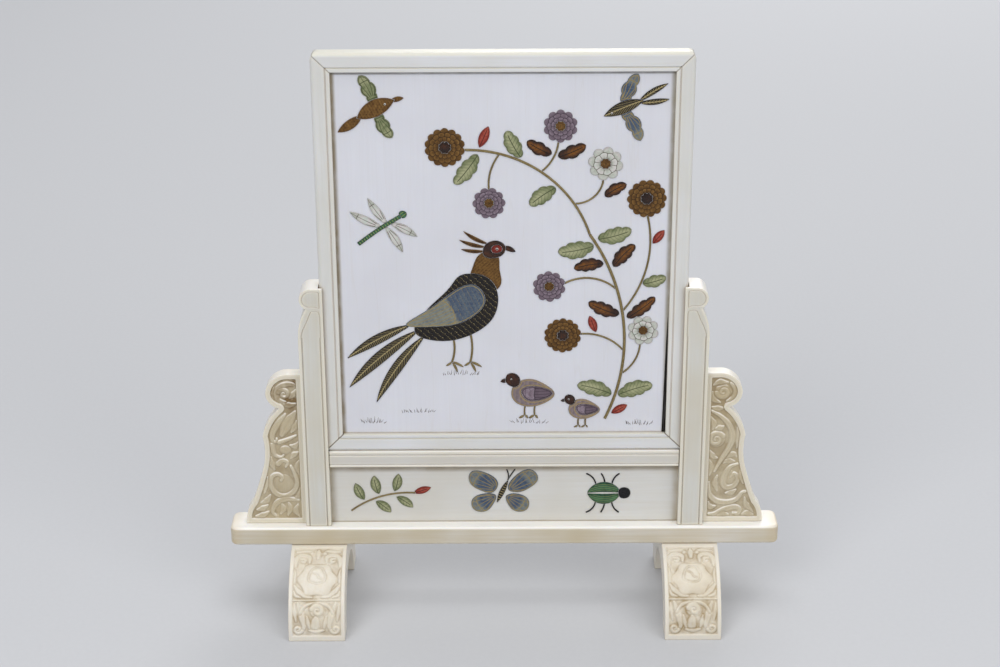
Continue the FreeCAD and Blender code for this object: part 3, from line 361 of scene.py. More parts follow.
def smooth_line(points, step=0.2):
    """Gives places a step apart along a smooth line through a few points."""
    knots = np.array(points, float)
    ends = np.vstack([2 * knots[0] - knots[1], knots, 2 * knots[-1] - knots[-2]])
    runs = []
    for before, start, end, after in zip(ends, ends[1:], ends[2:], ends[3:]):
        count = max(int(np.linalg.norm(end - start) / step), 2)
        share = np.linspace(0, 1, count, endpoint=False)[:, None]
        runs.append(0.5 * (2 * start + (end - before) * share
                           + (2 * before - 5 * start + 4 * end - after) * share ** 2
                           + (3 * start - before - 3 * end + after) * share ** 3))
    return np.vstack(runs + [knots[-1:]])


# Plain members

def soften(name, material, body, width):
    """Gives a copy of a plain node, its edges rounded by years of handling."""
    piece = close_copy(name, f"{name}_softened")
    with edit_mode():
        bpy.ops.mesh.dissolve_limited(angle_limit=math.radians(0.4))
    apply(piece, "BEVEL", width=width * MM, segments=2, limit_method="ANGLE", angle_limit=math.radians(35),
          use_clamp_overlap=False)
    dress(piece, material, body, SLOTS[name], name)
    return piece


def smooth(piece, sliver=0.0004):
    """Shades a piece so that its rounds look round and its flat faces flat."""
    pick(piece)
    with edit_mode():
        bpy.ops.mesh.remove_doubles(threshold=sliver * MM)
        bpy.ops.mesh.dissolve_degenerate(threshold=sliver * MM)
    bpy.ops.object.shade_smooth_by_angle(angle=math.radians(32))
    apply(piece, "WEIGHTED_NORMAL", keep_sharp=True)


def round_corner(rail, stile, hand, radius=2.8, reach=20):
    """Rounds an upper corner of the frame across the mitre of its rail and stile."""
    side, top = SCREEN_HIGH[0], SCREEN_HIGH[2]
    bpy.ops.object.select_all(action="DESELECT")
    bpy.ops.mesh.primitive_cube_add(size=2 * radius * MM, location=(hand * side * MM, 0, top * MM))
    cutter = bpy.context.object
    with edit_mode():
        bpy.ops.transform.resize(value=(1, reach / radius, 1))
    middle = hand * (side - radius) * MM, 0, (top - radius) * MM
    bpy.ops.mesh.primitive_cylinder_add(vertices=96, radius=radius * MM, depth=3 * reach * MM,
                                        location=middle, rotation=(math.pi / 2, 0, 0))
    core = bpy.context.object
    cut_away(cutter, core)
    for piece in (rail, stile):
        cut_away(piece, cutter)
    bpy.data.objects.remove(core)
    bpy.data.objects.remove(cutter)


def rod(points, radius, closed, taper):
    """A round rod along points, whose start has a taper's share of the radius."""
    curve = bpy.data.curves.new("rod", "CURVE")
    curve.dimensions = "3D"
    curve.bevel_depth = radius * MM
    curve.bevel_resolution = 2
    curve.use_fill_caps = True
    run = curve.splines.new("POLY")
    run.use_cyclic_u = closed
    run.points.add(len(points) - 1)
    for knot, point, share in zip(run.points, points, np.linspace(taper, 1, len(points))):
        knot.co = (*(value * MM for value in point), 1)
        knot.radius = share
    new_piece("rod", curve)
    bpy.ops.object.convert(target="MESH")
    return bpy.context.object


def scribe(piece, points, radius, closed=False, taper=1.0):
    """Cuts a fine round-bottomed line into a piece along points."""
    cutter = rod(points, radius, closed, taper)
    cut_away(piece, cutter)
    bpy.data.objects.remove(cutter)


def scribe_post(side, line_radius=0.24):
    """Cuts the fine outline of the scroll and of the top of the shaft into both faces of a post."""
    name = f"{side}_post"
    piece = soften(name, ivory_post, "stand", 0.17)
    low, high = corners(name)
    hand = 1 if side == "right" else -1
    scroll = [(71.4, 132.0), (71.4, 135.0), (71.4, 138.2), (71.9, 138.85), (73.2, 138.9), (74.8, 138.9),
              (76.45, 138.46), (77.66, 137.25), (78.1, 135.6), (77.66, 133.95), (76.7, 132.95), (75.4, 132.6),
              (72.6, 132.6)]
    shaft = [(78.9, 118.6), (78.7, 121.0), (77.9, 123.4), (77.0, 125.4), (76.1, 127.4), (75.2, 129.6),
             (74.5, 130.6), (72.4, 130.7), (71.5, 130.0), (71.3, 127.0), (71.3, 118.6)]
    for outline, closed in ((scroll, True), (shaft, False)):
        line = smooth_line(outline, 0.35)
        for face in (low[1], high[1]):
            scribe(piece, [(hand * across, face, up) for across, up in line], line_radius, closed)
    smooth(piece)


def open_joint(wide=0.9, narrow=0.2, start=140.0):
    """Opens the joint low on the right side of the panel, where it has shrunk away from its frame."""
    piece = close_copy("main_panel", "main_panel_shrunk")
    for depth in (0.32, 1.05):
        level = depth - FIELD_FACE
        ends = [(FIELD_SIDE - 0.8 * narrow, level, start), (FIELD_SIDE - 0.8 * wide, level, FIELD_LOW)]
        scribe(piece, ends, wide, taper=narrow / wide)
    dress(piece, ivory_field, "screen", SLOTS["main_panel"], "main_panel")


for name, material in (
    ("lower_panel", ivory_low), ("spandrel_dowels", ivory_post), ("frame_mitre_keys", ivory_rail),
):
    nodes[name].data.materials.clear()
    nodes[name].data.materials.append(material)

softened = {}
for name, material, body, width in (
    ("frame_top_rail", ivory_rail, "screen", 0.2), ("frame_bottom_rail", ivory_rail, "screen", 0.2),
    ("frame_left_stile", ivory_stile, "screen", 0.2), ("frame_right_stile", ivory_stile, "screen", 0.2),
    ("cross_rail", ivory_cross, "stand", 0.17), ("base_plank", ivory_plank, "stand", 0.6),
):
    softened[name] = soften(name, material, body, width)
round_corner(softened["frame_top_rail"], softened["frame_left_stile"], -1)
round_corner(softened["frame_top_rail"], softened["frame_right_stile"], 1)
for piece in softened.values():
    smooth(piece)
open_joint()
scribe_post("left")
scribe_post("right")


# Carving

def volute(centre, radius, turns, start, hand=1):
    """Gives the points of a scroll that winds in from a radius, starting at an angle in degrees."""
    share = np.linspace(0, 1, int(10 * turns) + 1)
    angle = math.radians(start) + hand * share * turns * 2 * math.pi
    reach = radius * (1 - 0.8 * share)
    return np.column_stack([centre[0] + reach * np.cos(angle), centre[1] + reach * np.sin(angle)])


def ridge(points, halves, height=0.9, groove=0.0):
    """A carved ridge along a smooth line, with the half widths that it has from its start to its end."""
    line = smooth_line(points)
    half = np.interp(np.linspace(0, 1, len(line)), np.linspace(0, 1, len(halves)), halves)

    def shape(spots):
        span = np.hypot(spots[:, None, 0] - line[:, 0], spots[:, None, 1] - line[:, 1])
        near = (span - half).argmin(1)
        reach = span[np.arange(len(spots)), near]
        return reach - half[near], reach / half[near]
    return shape, height, groove


def boss(centre, radii, lobes=0, height=0.9, groove=0.0):
    """A carved round boss, with lobes round its edge where it is a flower."""
    def shape(spots):
        across, up = ((spots - centre) / radii).T
        edge = 1 + 0.07 * np.cos(lobes * np.arctan2(up, across)) * (lobes > 0)
        share = np.hypot(across, up) / edge
        return (share - 1) * min(radii), share
    return shape, height, groove


STEM, CURL = (0.5, 1.1, 1.3, 1.0, 0.5), (1.1, 0.9, 0.7, 0.4)


def leaf(*points, height=0.75, halves=(0.3, 1.3, 0.3)):
    """A small pointed leaf with a vein down its middle."""
    return ridge(points, halves, height, 0.2)


def stem(*points, height=0.95, groove=0.2):
    """A grooved stem that swells between its ends."""
    return ridge(points, STEM, height, groove)


def relief(spots, ornament):
    """Gives an ornament's height at each spot, 0 at the ground and 1 at the rim, and the cut lines round it.

    Each form lies over the ones before it, as overlapping leaves do.
    """
    heights, cuts = np.zeros(len(spots)), np.zeros(len(spots))
    for shape, height, groove in ornament:
        gap, share = shape(spots)
        cover = ease(-gap, -0.52, 0.38)
        dome = np.clip(1 - share ** 3, 0, 1)
        top = height * (0.45 + 0.55 * dome) - groove * np.exp(-(share / 0.25) ** 2)
        heights += (top - heights) * cover
        cuts = np.maximum(cuts * (1 - cover), np.exp(-((gap - 0.22) / 0.23) ** 2))
    return heights, cuts


# Scroll carving of each wing, in millimetres out from the post and up from the plank
RIGHT_SCROLLS = [
    leaf((2.6, 60.6), (5.0, 62.0), (8.4, 61.8), height=0.8),
    stem((9.6, 61.4), (11.6, 58.8), (10.8, 55.4), (8.2, 53.6), height=0.85),
    leaf((2.4, 57.6), (2.8, 54.6), (5.6, 53.0), height=0.8),
    boss((6.6, 57.6), (3.3, 3.1), 5, 0.8),
    ridge(volute((6.6, 57.6), 2.5, 1.3, 190), CURL),
    leaf((2.2, 51.0), (4.6, 50.4), (7.2, 50.6), height=0.7),
    leaf((2.2, 46.6), (3.4, 43.6), (3.0, 41.2)),
    leaf((12.9, 42.0), (13.4, 37.6), (13.0, 33.0)),
    leaf((7.4, 42.6), (6.0, 41.8), (4.0, 41.6)),
    stem((2.4, 49.4), (5.6, 47.4), (8.8, 44.2), (10.7, 40.4), (10.9, 36.2), (9.2, 31.8), (6.8, 27.6),
         (4.4, 22.6), height=1.0, groove=0.25),
    boss((4.6, 36.8), (3.4, 3.4), 0, 0.7),
    ridge(volute((4.6, 36.8), 3.0, 1.5, 30), CURL, 0.95),
    leaf((2.2, 31.8), (3.6, 29.2), (5.4, 28.4)),
    leaf((2.2, 27.6), (3.0, 24.8), (2.4, 20.6)),
    leaf((9.4, 28.6), (11.8, 30.2), (13.2, 29.0)),
    leaf((8.0, 26.2), (9.6, 27.2), (12.4, 26.9), height=0.7),
    boss((10.8, 19.6), (2.6, 3.2), 0, 0.65),
    stem((13.6, 25.8), (10.8, 24.6), (8.8, 21.2), (8.0, 17.4), (9.6, 15.2), (12.6, 16.2), (13.9, 19.4),
         (12.4, 21.6), (11.0, 20.0)),
    leaf((15.0, 23.6), (15.4, 20.2), (16.2, 17.0)),
    leaf((5.6, 20.6), (4.8, 17.4), (5.8, 13.6), height=0.8),
    leaf((9.2, 12.6), (11.6, 12.9), (13.4, 14.2)),
    stem((2.2, 17.4), (2.7, 12.4), (5.6, 9.2), (9.8, 8.5), (13.6, 9.8), (15.8, 12.8), (17.6, 13.4),
         height=1.0, groove=0.25),
    leaf((17.0, 10.6), (17.8, 7.4), (20.6, 4.0), height=0.8),
    leaf((2.4, 8.6), (3.2, 6.4), (5.4, 6.8), height=0.8),
    stem((2.6, 3.2), (5.4, 3.4), (9.0, 5.2), (13.2, 6.4), (15.2, 5.2), (14.6, 3.4), (12.6, 3.6),
         height=0.9),
    leaf((16.2, 3.0), (18.2, 3.6), (20.8, 2.8)),
    ridge([(6.4, 2.6), (8.6, 3.2), (10.8, 2.9)], (0.3, 1.3, 0.3), 0.7),
]
LEFT_SCROLLS = [
    stem((1.8, 60.6), (4.0, 61.8), (7.4, 61.2), (10.0, 58.4), (9.4, 55.2), (6.4, 53.8), height=0.9),
    leaf((2.2, 59.2), (3.2, 57.2), (4.8, 55.6), height=0.85),
    leaf((2.2, 53.2), (4.6, 52.6), (8.6, 52.8), height=0.8),
    ridge(volute((7.0, 57.4), 2.2, 1.3, 20), (0.9, 0.8, 0.6, 0.3)),
    ridge([(10.8, 60.4), (11.8, 57.6), (11.2, 54.8)], (0.2, 0.6, 0.2), 0.7),
    leaf((2.8, 49.6), (6.0, 44.6), (8.6, 39.6), height=0.85, halves=(0.6, 2.6, 1.0)),
    leaf((2.4, 45.6), (3.2, 42.8), (4.8, 40.6)),
    stem((6.9, 48.6), (10.0, 44.4), (12.2, 40.4), (12.4, 37.2), (10.9, 36.4), (10.7, 37.8),
         height=1.0, groove=0.15),
    ridge([(9.8, 36.2), (6.6, 37.4), (3.0, 39.2)], (0.9, 0.8, 0.4)),
    leaf((2.2, 36.2), (3.4, 34.4), (5.6, 34.8)),
    boss((7.4, 32.8), (2.3, 1.9), 0, 0.85, 0.15),
    ridge([(12.6, 35.0), (11.8, 30.8), (9.4, 29.6), (8.2, 30.6)], CURL, 0.85),
    leaf((2.2, 31.8), (4.2, 30.6), (5.4, 29.0), height=0.8),
    ridge([(10.6, 26.6), (8.8, 28.2), (6.8, 27.2), (7.6, 25.2)], CURL, 0.85),
    leaf((13.4, 29.6), (13.3, 26.8), (12.2, 24.0)),
    leaf((2.2, 28.0), (3.0, 25.6), (2.4, 22.0)),
    boss((9.0, 17.4), (4.2, 4.4), 0, 0.55),
    ridge([(5.6, 25.6), (4.2, 22.4), (3.3, 18.2), (4.7, 14.4), (8.3, 12.2), (11.9, 13.2), (14.0, 17.0),
           (13.4, 20.8), (11.0, 22.0), (9.2, 20.6), (9.8, 19.2)],
          (0.5, 0.9, 1.1, 1.1, 1.1, 1.0, 0.9, 0.6), 1.0, 0.2),
    ridge([(15.2, 20.6), (15.6, 17.4), (16.8, 13.4)], (0.3, 0.7, 0.3), 0.75),
    leaf((2.2, 15.6), (2.6, 12.6), (4.6, 11.0)),
    leaf((14.4, 12.6), (15.8, 10.2), (18.4, 9.0), height=0.8),
    stem((3.0, 10.2), (7.6, 10.8), (11.9, 9.0), (13.8, 5.2), (12.6, 3.2)),
    leaf((10.0, 8.6), (9.4, 6.2), (10.6, 4.0), height=0.8),
    leaf((7.2, 9.0), (6.6, 6.6), (7.6, 3.4), height=0.8),
    leaf((3.4, 8.2), (4.4, 5.4), (3.0, 2.8), height=0.8),
    leaf((15.6, 8.0), (17.8, 6.4), (20.2, 5.8), height=0.8),
    leaf((15.4, 5.0), (17.8, 3.4), (20.8, 2.9), height=0.8),
]


def carve_spandrel(side, ornament, ground_darkening, voxel=0.21):
    """Carves the scrollwork into both sunk faces of a wing. The ground darkening is how dirty its upper
    scroll is.
    """
    name = f"{side}_spandrel"
    piece = close_copy(name, f"{name}_carved")
    remesh(piece, voxel)
    low, high = corners(name)
    places, normals = read(piece)
    out = places[:, 0] - low[0] if side == "right" else high[0] - places[:, 0]
    up = places[:, 2] - low[2]
    sink, ground_lift, relief_height, cut_depth = 1.2, 0.6, 0.52, 0.1
    scroll_start, scroll_end = 46.0, 54.0
    above = np.abs(places[:, 1]) - (high[1] - sink)
    flat = (np.abs(normals[:, 1]) > 0.75) & (np.abs(above) < 0.35)
    wall = (np.abs(normals[:, 1]) < 0.5) & (above > 0)
    rim = reach_to(places[flat], places[wall])
    heights, cuts = relief(np.column_stack([out, up])[flat], ornament)
    heights *= ease(rim, 0.1, 0.7)
    lift = ground_lift * np.clip(1 - above / sink, 0, 1) * (above > -0.1)
    lift[flat] += relief_height * heights - cut_depth * cuts * ease(rim, 0.0, 0.5)
    places[:, 1] += np.sign(places[:, 1]) * lift
    tone = np.ones(len(places))
    tone[flat] = np.clip(0.35 + 0.6 * heights - 0.25 * cuts, 0, 1)
    tone[flat] -= ground_darkening * ease(up[flat], scroll_start, scroll_end)
    write(piece, places, carving=tone)
    dress(piece, ivory_wing, "stand", "ivory_carved", name)


def foot_ornament():
    """Carving of a foot, in millimetres from its middle line and up along its curve from the floor."""
    forms = []
    for hand in (1, -1):
        def both(*points):
            return [(hand * across, up) for across, up in points]

        forms += [
            ridge(both((1.4, 38.0), (4.2, 39.4), (8.8, 38.8)), (0.4, 0.8, 0.3), 0.85, 0.2),
            stem(*both((8.9, 31.4), (8.7, 35.0), (6.4, 36.9), (3.6, 36.0), (3.4, 33.4))),
            ridge(both((6.9, 35.2), (5.3, 34.9), (5.5, 33.5), (6.7, 33.9)), (0.4, 0.7, 0.6, 0.4), 0.85),
            ridge(both((9.1, 30.0), (8.8, 26.6), (9.1, 22.6)), (0.2, 0.7, 0.2), 0.8),
            ridge(both((9.0, 23.0), (7.2, 20.4), (4.4, 18.6), (2.0, 18.1)), (0.4, 1.1, 1.0, 0.4), 0.85, 0.2),
            ridge(both((9.1, 20.4), (8.4, 18.8), (6.4, 18.0)), (0.3, 0.7, 0.3), 0.75),
            stem(*both((7.6, 15.8), (6.4, 12.4), (5.6, 9.2), (5.0, 6.4), (5.8, 4.2)), groove=0.25),
            ridge(both(*volute((7.4, 5.0), 1.7, 1.2, 200)), (0.7, 0.7, 0.6, 0.4)),
            leaf(*both((9.0, 15.4), (8.7, 11.8), (8.2, 8.4)), height=0.8, halves=(0.3, 0.8, 0.3)),
            leaf(*both((3.9, 10.4), (3.4, 7.8), (2.8, 5.0)), height=0.8, halves=(0.3, 0.8, 0.3)),
            boss((hand * 2.6, 38.0), (0.8, 0.7)),
        ]
    medallion = [(-0.6, 31.0), (-2.2, 29.8), (-3.2, 27.4), (-3.4, 25.2), (-1.8, 24.2), (0.4, 23.8),
                 (2.6, 24.6), (3.4, 26.8), (2.4, 29.4), (1.6, 30.8), (-0.6, 31.0)]
    arch = [(-6.6, 11.6), (-4.4, 14.7), (0.0, 15.7), (4.4, 14.7), (6.6, 11.6)]
    return forms + [
        boss((0.0, 25.6), (7.5, 7.0), 6, 1.0),
        ridge(medallion, (0.16,), 0.5),
        ridge([(-1.7, 28.6), (-0.2, 27.8), (0.6, 26.4), (1.7, 25.8)], (0.12,), 0.7),
        leaf((0.0, 35.6), (0.0, 38.0), (0.0, 40.0), height=0.95, halves=(0.7, 1.2, 0.3)),
        ridge([(-9.4, 16.9), (9.4, 16.9)], (0.3,), 0.8),
        ridge(arch, (0.5, 0.7, 0.5, 0.7, 0.5), 0.85),
        boss((0.3, 12.6), (3.0, 2.6), 0, 0.7),
        ridge(volute((0.3, 12.6), 2.3, 1.3, 160, -1), CURL, 0.95),
        ridge([(-0.4, 9.8), (-0.5, 8.0), (-0.5, 6.4)], (0.7, 1.5, 1.8), 0.85, 0.2),
        ridge([(-3.0, 4.6), (-0.2, 4.0), (2.8, 4.6)], (0.4, 0.8, 0.4), 0.8),
    ]


def carve_foot(side, ground_darkening, voxel=0.27):
    """Carves the outer curve of a foot, front and back. The ground darkening is how much darker its ground is
    towards the floor.
    """
    name = f"{side}_foot"
    piece = close_copy(name, f"{name}_carved")
    remesh(piece, voxel)
    low, high = corners(name)
    places, normals = read(piece)
    seat_cut, rim, bottom_band, top_line, sink, cut_depth = 0.6, 1.4, 2.2, 8.9, 0.5, 0.16
    half_span, rise = high[1], high[2] + seat_cut
    middle, half_width = (low[0] + high[0]) / 2, (high[0] - low[0]) / 2
    angles = np.linspace(0, math.pi / 2, 400)
    steps = np.hypot(half_span * np.sin(angles), rise * np.cos(angles)) * (angles[1] - angles[0])
    climb = np.cumsum(steps) - steps[0]
    depth, height = np.abs(places[:, 1]) / half_span, places[:, 2] / rise
    outer = (np.abs(np.hypot(depth, height) - 1) < 0.02) & (np.abs(normals[:, 0]) < 0.5)
    outer &= (places[:, 2] < high[2] - 0.15) & (places[:, 2] > 0.3)
    up = np.interp(np.arctan2(height, depth), angles, climb)
    top = np.interp(math.acos(top_line / half_span), angles, climb)
    spots = np.column_stack([places[:, 0] - middle, up])[outer]
    inside = half_width - rim - np.abs(spots[:, 0])
    edge = np.minimum.reduce([inside, spots[:, 1] - bottom_band, top - spots[:, 1]])
    heights, cuts = relief(spots, foot_ornament())
    heights *= ease(edge, 0.05, 0.6)
    ground = ease(edge, 0.0, 0.45)
    cuts *= ground
    tone = np.ones(len(places))
    tone[outer] = np.clip(1 - 0.45 * ground + 0.45 * heights - 0.4 * cuts, 0, 1)
    # its ground darker towards the floor
    tone[outer] -= ground_darkening * ground * (1 - 0.7 * ease(spots[:, 1], 14.0, 22.0))
    inward = np.column_stack([np.zeros(len(places)), places[:, 1] / half_span ** 2, places[:, 2] / rise ** 2])
    inward /= -np.linalg.norm(inward, axis=1)[:, None]
    places[outer] += inward[outer] * (sink * (ground - heights) + cut_depth * cuts)[:, None]
    write(piece, places, carving=tone)
    dress(piece, ivory_foot, "stand", "ivory_carved", name)


carve_spandrel("right", RIGHT_SCROLLS, 0.15)
carve_spandrel("left", LEFT_SCROLLS, 0.9)
carve_foot("left", 0.05)
carve_foot("right", 0.3)


# Inlay finishes

def inlay_finish(name, tones, second, line, mottle, gloss, line_metal=0.0, metal=0.0, coat=0.0, depth=0.0):
    """An inlaid material: three mottled tones, a second one where a pattern is shaded, and one for its lines.

    Mottle is the size of its patches, gloss its roughness, and depth the share of the lines' tone in its rim.
    Line_metal is how metallic its lines are, and metal how metallic all of it is.
    """
    material, add, shader, place = new_material(name)
    patches = {"Vector": place, "Scale": per(mottle), "Detail": 3.0, "Distortion": 0.8}
    coarse = add("TexNoise", patches)
    fine = add("TexNoise", {"Vector": place, "Scale": per(mottle * 0.35), "Detail": 4.0})
    coarse_share = add("MapRange", [coarse, 0.40, 0.62, 0.0, 1.0])
    fine_share = add("MapRange", [fine, 0.46, 0.66, 0.0, 0.8])
    tone = add("MixRGB", [coarse_share, linear(tones[0]), linear(tones[1])])
    tone = add("MixRGB", [fine_share, tone, linear(tones[2])])
    shade = add("Attribute", attribute_name="shade").outputs["Fac"]
    patch = add("MapRange", [coarse, 0.35, 0.60, 0.55, 1.0])
    shade = add("Math", [shade, patch], operation="MULTIPLY")
    tone = add("MixRGB", [shade, tone, linear(second)])
    rim = add("Attribute", attribute_name="rim").outputs["Fac"]
    rim = add("Math", [rim, depth], operation="MULTIPLY")
    tone = add("MixRGB", [rim, tone, linear(line)])
    engraved = add("Attribute", attribute_name="engraved").outputs["Fac"]
    line_share = add("MapRange", [engraved, 0.35, 0.70, 0.0, 0.95])
    tone = add("MixRGB", [line_share, tone, linear(line)])
    rough = add("MapRange", [fine, 0.3, 0.7, gloss - 0.06, gloss + 0.08])
    bump = add("Bump", {"Height": fine, "Strength": 0.25, "Distance": 0.03 * MM})
    if line_metal:
        metal = add("Math", [line_share, line_metal], operation="MULTIPLY")
    feed(shader, {"Base Color": tone, "Roughness": rough, "Normal": bump, "Metallic": metal, "IOR": 1.5,
                  "Specular IOR Level": 0.3, "Coat Weight": coat, "Coat Roughness": 0.15})
    return material


INLAY_FINISHES = {
    # water buffalo horn, polished black, its engraved lines rubbed with gold
    "black_horn": inlay_finish(
        "black buffalo horn", ("#121115", "#1a181c", "#0b0b0e"), "#2c2417", "#b9a878", 2.4, 0.30, 0.4),
    # lacquer dusted with gold powder, worn brown in its hollows
    "gold_lacquer": inlay_finish(
        "gold lacquer", ("#7c592b", "#6a4a22", "#8f6b38"), "#4c3315", "#33210f",
        2.6, 0.42, metal=0.2, depth=0.3),
    # flat gold wire, slightly tarnished
    "gold_inlay": inlay_finish(
        "tarnished gold wire", ("#a08f62", "#8c7a4e", "#b0a177"), "#8c7a4e", "#55431f",
        1.6, 0.38, metal=0.4, depth=0.5),
    # turtle shell, clear amber with dark clouds under a polished top
    "tortoiseshell": inlay_finish(
        "tortoiseshell", ("#321709", "#4c270a", "#1e0d06"), "#83500f", "#120804",
        2.8, 0.20, coat=0.25, depth=0.6),
    # stained horn, dull green with pale patches
    "green_horn": inlay_finish(
        "green stained horn", ("#7f8660", "#6d7750", "#979873"), "#b3b38c", "#3f472b", 3.0, 0.38, depth=0.35),
    # shell of a green turban snail, glossy and deep
    "green_shell": inlay_finish(
        "green turban shell", ("#1c4029", "#28573c", "#11291f"), "#4b7d55", "#8c9858", 1.5, 0.18, coat=0.3),
    # red coral, waxy with paler veins
    "coral": inlay_finish(
        "red coral", ("#8a2c20", "#9c3b2b", "#742017"), "#b25846", "#4a100b", 1.8, 0.30, coat=0.1, depth=0.3),
    # mussel shell, lilac and grey with a pearly bloom
    "lilac_shell": inlay_finish(
        "lilac mussel shell", ("#82717c", "#978894", "#6d5e69"), "#5f4f5b", "#392d37",
        2.2, 0.22, depth=0.3, coat=0.2),
    # mother of pearl, white with faint pink and green
    "pearl_shell": inlay_finish(
        "mother of pearl", ("#d5d4ce", "#c9d2c8", "#d8c8ca"), "#b0b5a6", "#5c5548",
        1.8, 0.20, depth=0.3, coat=0.3),
    # abalone, blue and grey-green in streaks, its lines filled with gold
    "abalone": inlay_finish(
        "abalone shell", ("#42526a", "#566472", "#33415a"), "#85897f", "#a8935c", 1.7, 0.20, 0.4, coat=0.25),
    # grey oyster shell with a rosy bloom, its lines filled with gold
    "grey_shell": inlay_finish(
        "grey oyster shell", ("#85777a", "#94868a", "#716568"), "#655a5d", "#a08a5c",
        3.2, 0.26, depth=0.4, coat=0.15),
}


# Inlay engraving: each pattern gives how deep a spot is cut, how far it stands up and its shade

def lines(turns, pitch, width):
    """Fine lines where a count of turns is whole, a pitch apart and a width broad."""
    return np.exp(-((turns - np.round(turns)) * pitch / width) ** 2)


def swell(across, half):
    """Rises from 0 at the edges of a part to 1 along its middle."""
    return np.cos(np.clip(across / half, -1, 1) * math.pi / 2)


def veins(along, across, length, half):
    """Midrib and side veins of a leaf, with its own tone along the middle."""
    side = lines((along - 0.75 * np.abs(across)) / 1.5, 1.2, 0.13) * ease(np.abs(across), 0.12, 0.4)
    middle = np.exp(-(across / 0.2) ** 2) * ease(length - along, 0.4, 2.0)
    shade = 0.85 * ease(1 - np.abs(across) / half, 0.15, 0.8) * ease(along / length, 0.1, 0.5)
    return np.maximum(middle, 0.75 * side), 0.03 * np.cos(np.clip(across / half, -1, 1) * math.pi), shade


def barbs(along, across, length, half):
    """Shaft and slanting barbs of a long feather that is barred in a second tone."""
    side = lines((along - 1.5 * np.abs(across)) / 1.2, 0.67, 0.12)
    bars = 0.9 * lines((along - 0.8 * np.abs(across)) / 5.2 + 0.5, 5.2, 1.1)
    return np.maximum(np.exp(-(across / 0.2) ** 2), 0.8 * side), np.zeros(len(along)), bars


def scales(along, across, length, half, pitch=1.8, width=2.2, reach=1.75):
    """Rows of small rounded feathers that lap over each other towards the tail."""
    cut, lift, shade = np.zeros((3, len(along)))
    row = np.floor(along / pitch)
    for step in (1, 0, -1, -2):
        shift = ((row + step) % 2) * 0.5
        middle = (np.round(across / width - shift) + shift) * width
        gap = np.hypot(along - (row + step) * pitch, across - middle) - reach
        inside = gap < 0
        shaft = 0.45 * np.exp(-((across - middle) / 0.1) ** 2)
        cut = np.where(inside, np.maximum(np.exp(-(gap / 0.12) ** 2), shaft), cut)
        lift = np.where(inside, 0.03 * ease(-gap, 0.0, reach), lift)
        shade = np.where(inside, 0.8 * ease(-gap, 0.1 * reach, reach), shade)
    return cut, lift, shade


def down(along, across, length, half):
    """Close rows of very small feathers."""
    return scales(along, across, length, half, 1.05, 1.2, 1.1)


def flight(along, across, length, half):
    """A folded wing: small feathers at the shoulder, then long flight feathers of a second tone."""
    cut, lift, shade = scales(along, across, length, half, 1.7, 1.9, 1.7)
    wave = across / 1.3 + 0.25 * np.sin(along / length * 3)
    long_cut = np.maximum(lines(wave, 1.3, 0.14), 0.5 * lines(wave + 0.5, 1.3, 0.1))
    far = ease(along, 0.40 * length, 0.44 * length)
    bar = np.exp(-((along - 0.42 * length - 0.06 * across ** 2) / 0.18) ** 2)
    cut = np.maximum(cut * (1 - far) + long_cut * far, bar)
    return cut, lift * (1 - far), np.maximum(0.25 * shade * (1 - far), 0.95 * far)


def ribs(along, across, length, half):
    """Rings across an insect's body."""
    rise = swell(across, half)
    return lines(along / 1.1, 1.1, 0.16), 0.12 * rise, 0.6 * rise ** 2


def fan(along, across, length, half):
    """Veins that spread from the root of an insect's or a small bird's wing, with a bordered edge."""
    angle, reach = np.arctan2(across, along + 0.1 * length), np.hypot(across, along)
    spread = lines(angle / 0.22, 0.22 * np.maximum(reach, 1.5), 0.13) * ease(reach, 0.8, 2.0)
    border = np.exp(-((reach - 0.74 * length) / 0.17) ** 2)
    shade = 0.7 * ease(reach, 0.55 * length, 0.76 * length)
    return np.maximum(0.9 * spread, border), np.zeros(len(along)), shade


def wing_case(along, across, length, half):
    """Lengthwise lines of a beetle's wing case."""
    rise = swell(across, half)
    return 0.8 * lines(across / 0.85 + 0.5, 0.85, 0.13), 0.15 * rise, 0.6 * rise ** 2


def wire(along, across, length, half):
    """A plain rounded strip."""
    flat = np.zeros(len(along))
    return flat, 0.1 * swell(across, half), flat


def petals(count, rings):
    """A pattern of petals in rings about the middle of a blossom, deeper in tone towards its heart."""
    def pattern(along, across, length, half):
        angle, reach = np.arctan2(along, across), np.hypot(along, across)
        radius = length / 2
        turn = np.angle((np.exp(1j * count * angle) * (reach > 0.94 * radius)).sum()) / count
        cut, lift, shade = np.zeros((3, len(along)))
        for ring in range(rings):
            outer = radius * (1.04 - 0.7 * ring / rings)
            place = (angle - turn) * count / (2 * math.pi) + 0.5 * (ring % 2)
            off = np.abs(place - np.round(place)) * 2
            tip = outer * (1 - 0.1 * off ** 2)
            inside = reach < tip
            arc = reach * math.pi / count
            border = np.exp(-((1 - off) * arc / 0.15) ** 2)
            fine = 0.55 * np.exp(-(off * arc / 0.11) ** 2) * ease(tip - reach, 0.2, 1.0)
            edge = np.exp(-((reach - tip) / 0.16) ** 2) * (ring > 0)
            cut = np.where(inside, np.maximum.reduce([border, fine, edge]), np.maximum(cut, edge))
            lift = np.where(inside, 0.02 * (1 - off ** 2) + 0.02 * ring, lift)
            shade = np.where(inside, 0.9 - 0.9 * ease(reach, tip - 0.75 * radius / rings, tip), shade)
        return cut, lift, shade
    return pattern


def seeds(along, across, length, half):
    """The seeded heart of a blossom."""
    reach = np.hypot(along, across)
    angle = np.arctan2(along, across) * 7 / math.pi
    cut = np.maximum(lines(angle + reach / 1.1, 0.9, 0.14), lines(angle - reach / 1.1, 0.9, 0.14))
    return cut, 0.1 * ease(length / 2 - reach, 0.0, length / 2), np.zeros(len(along))


# Inlays

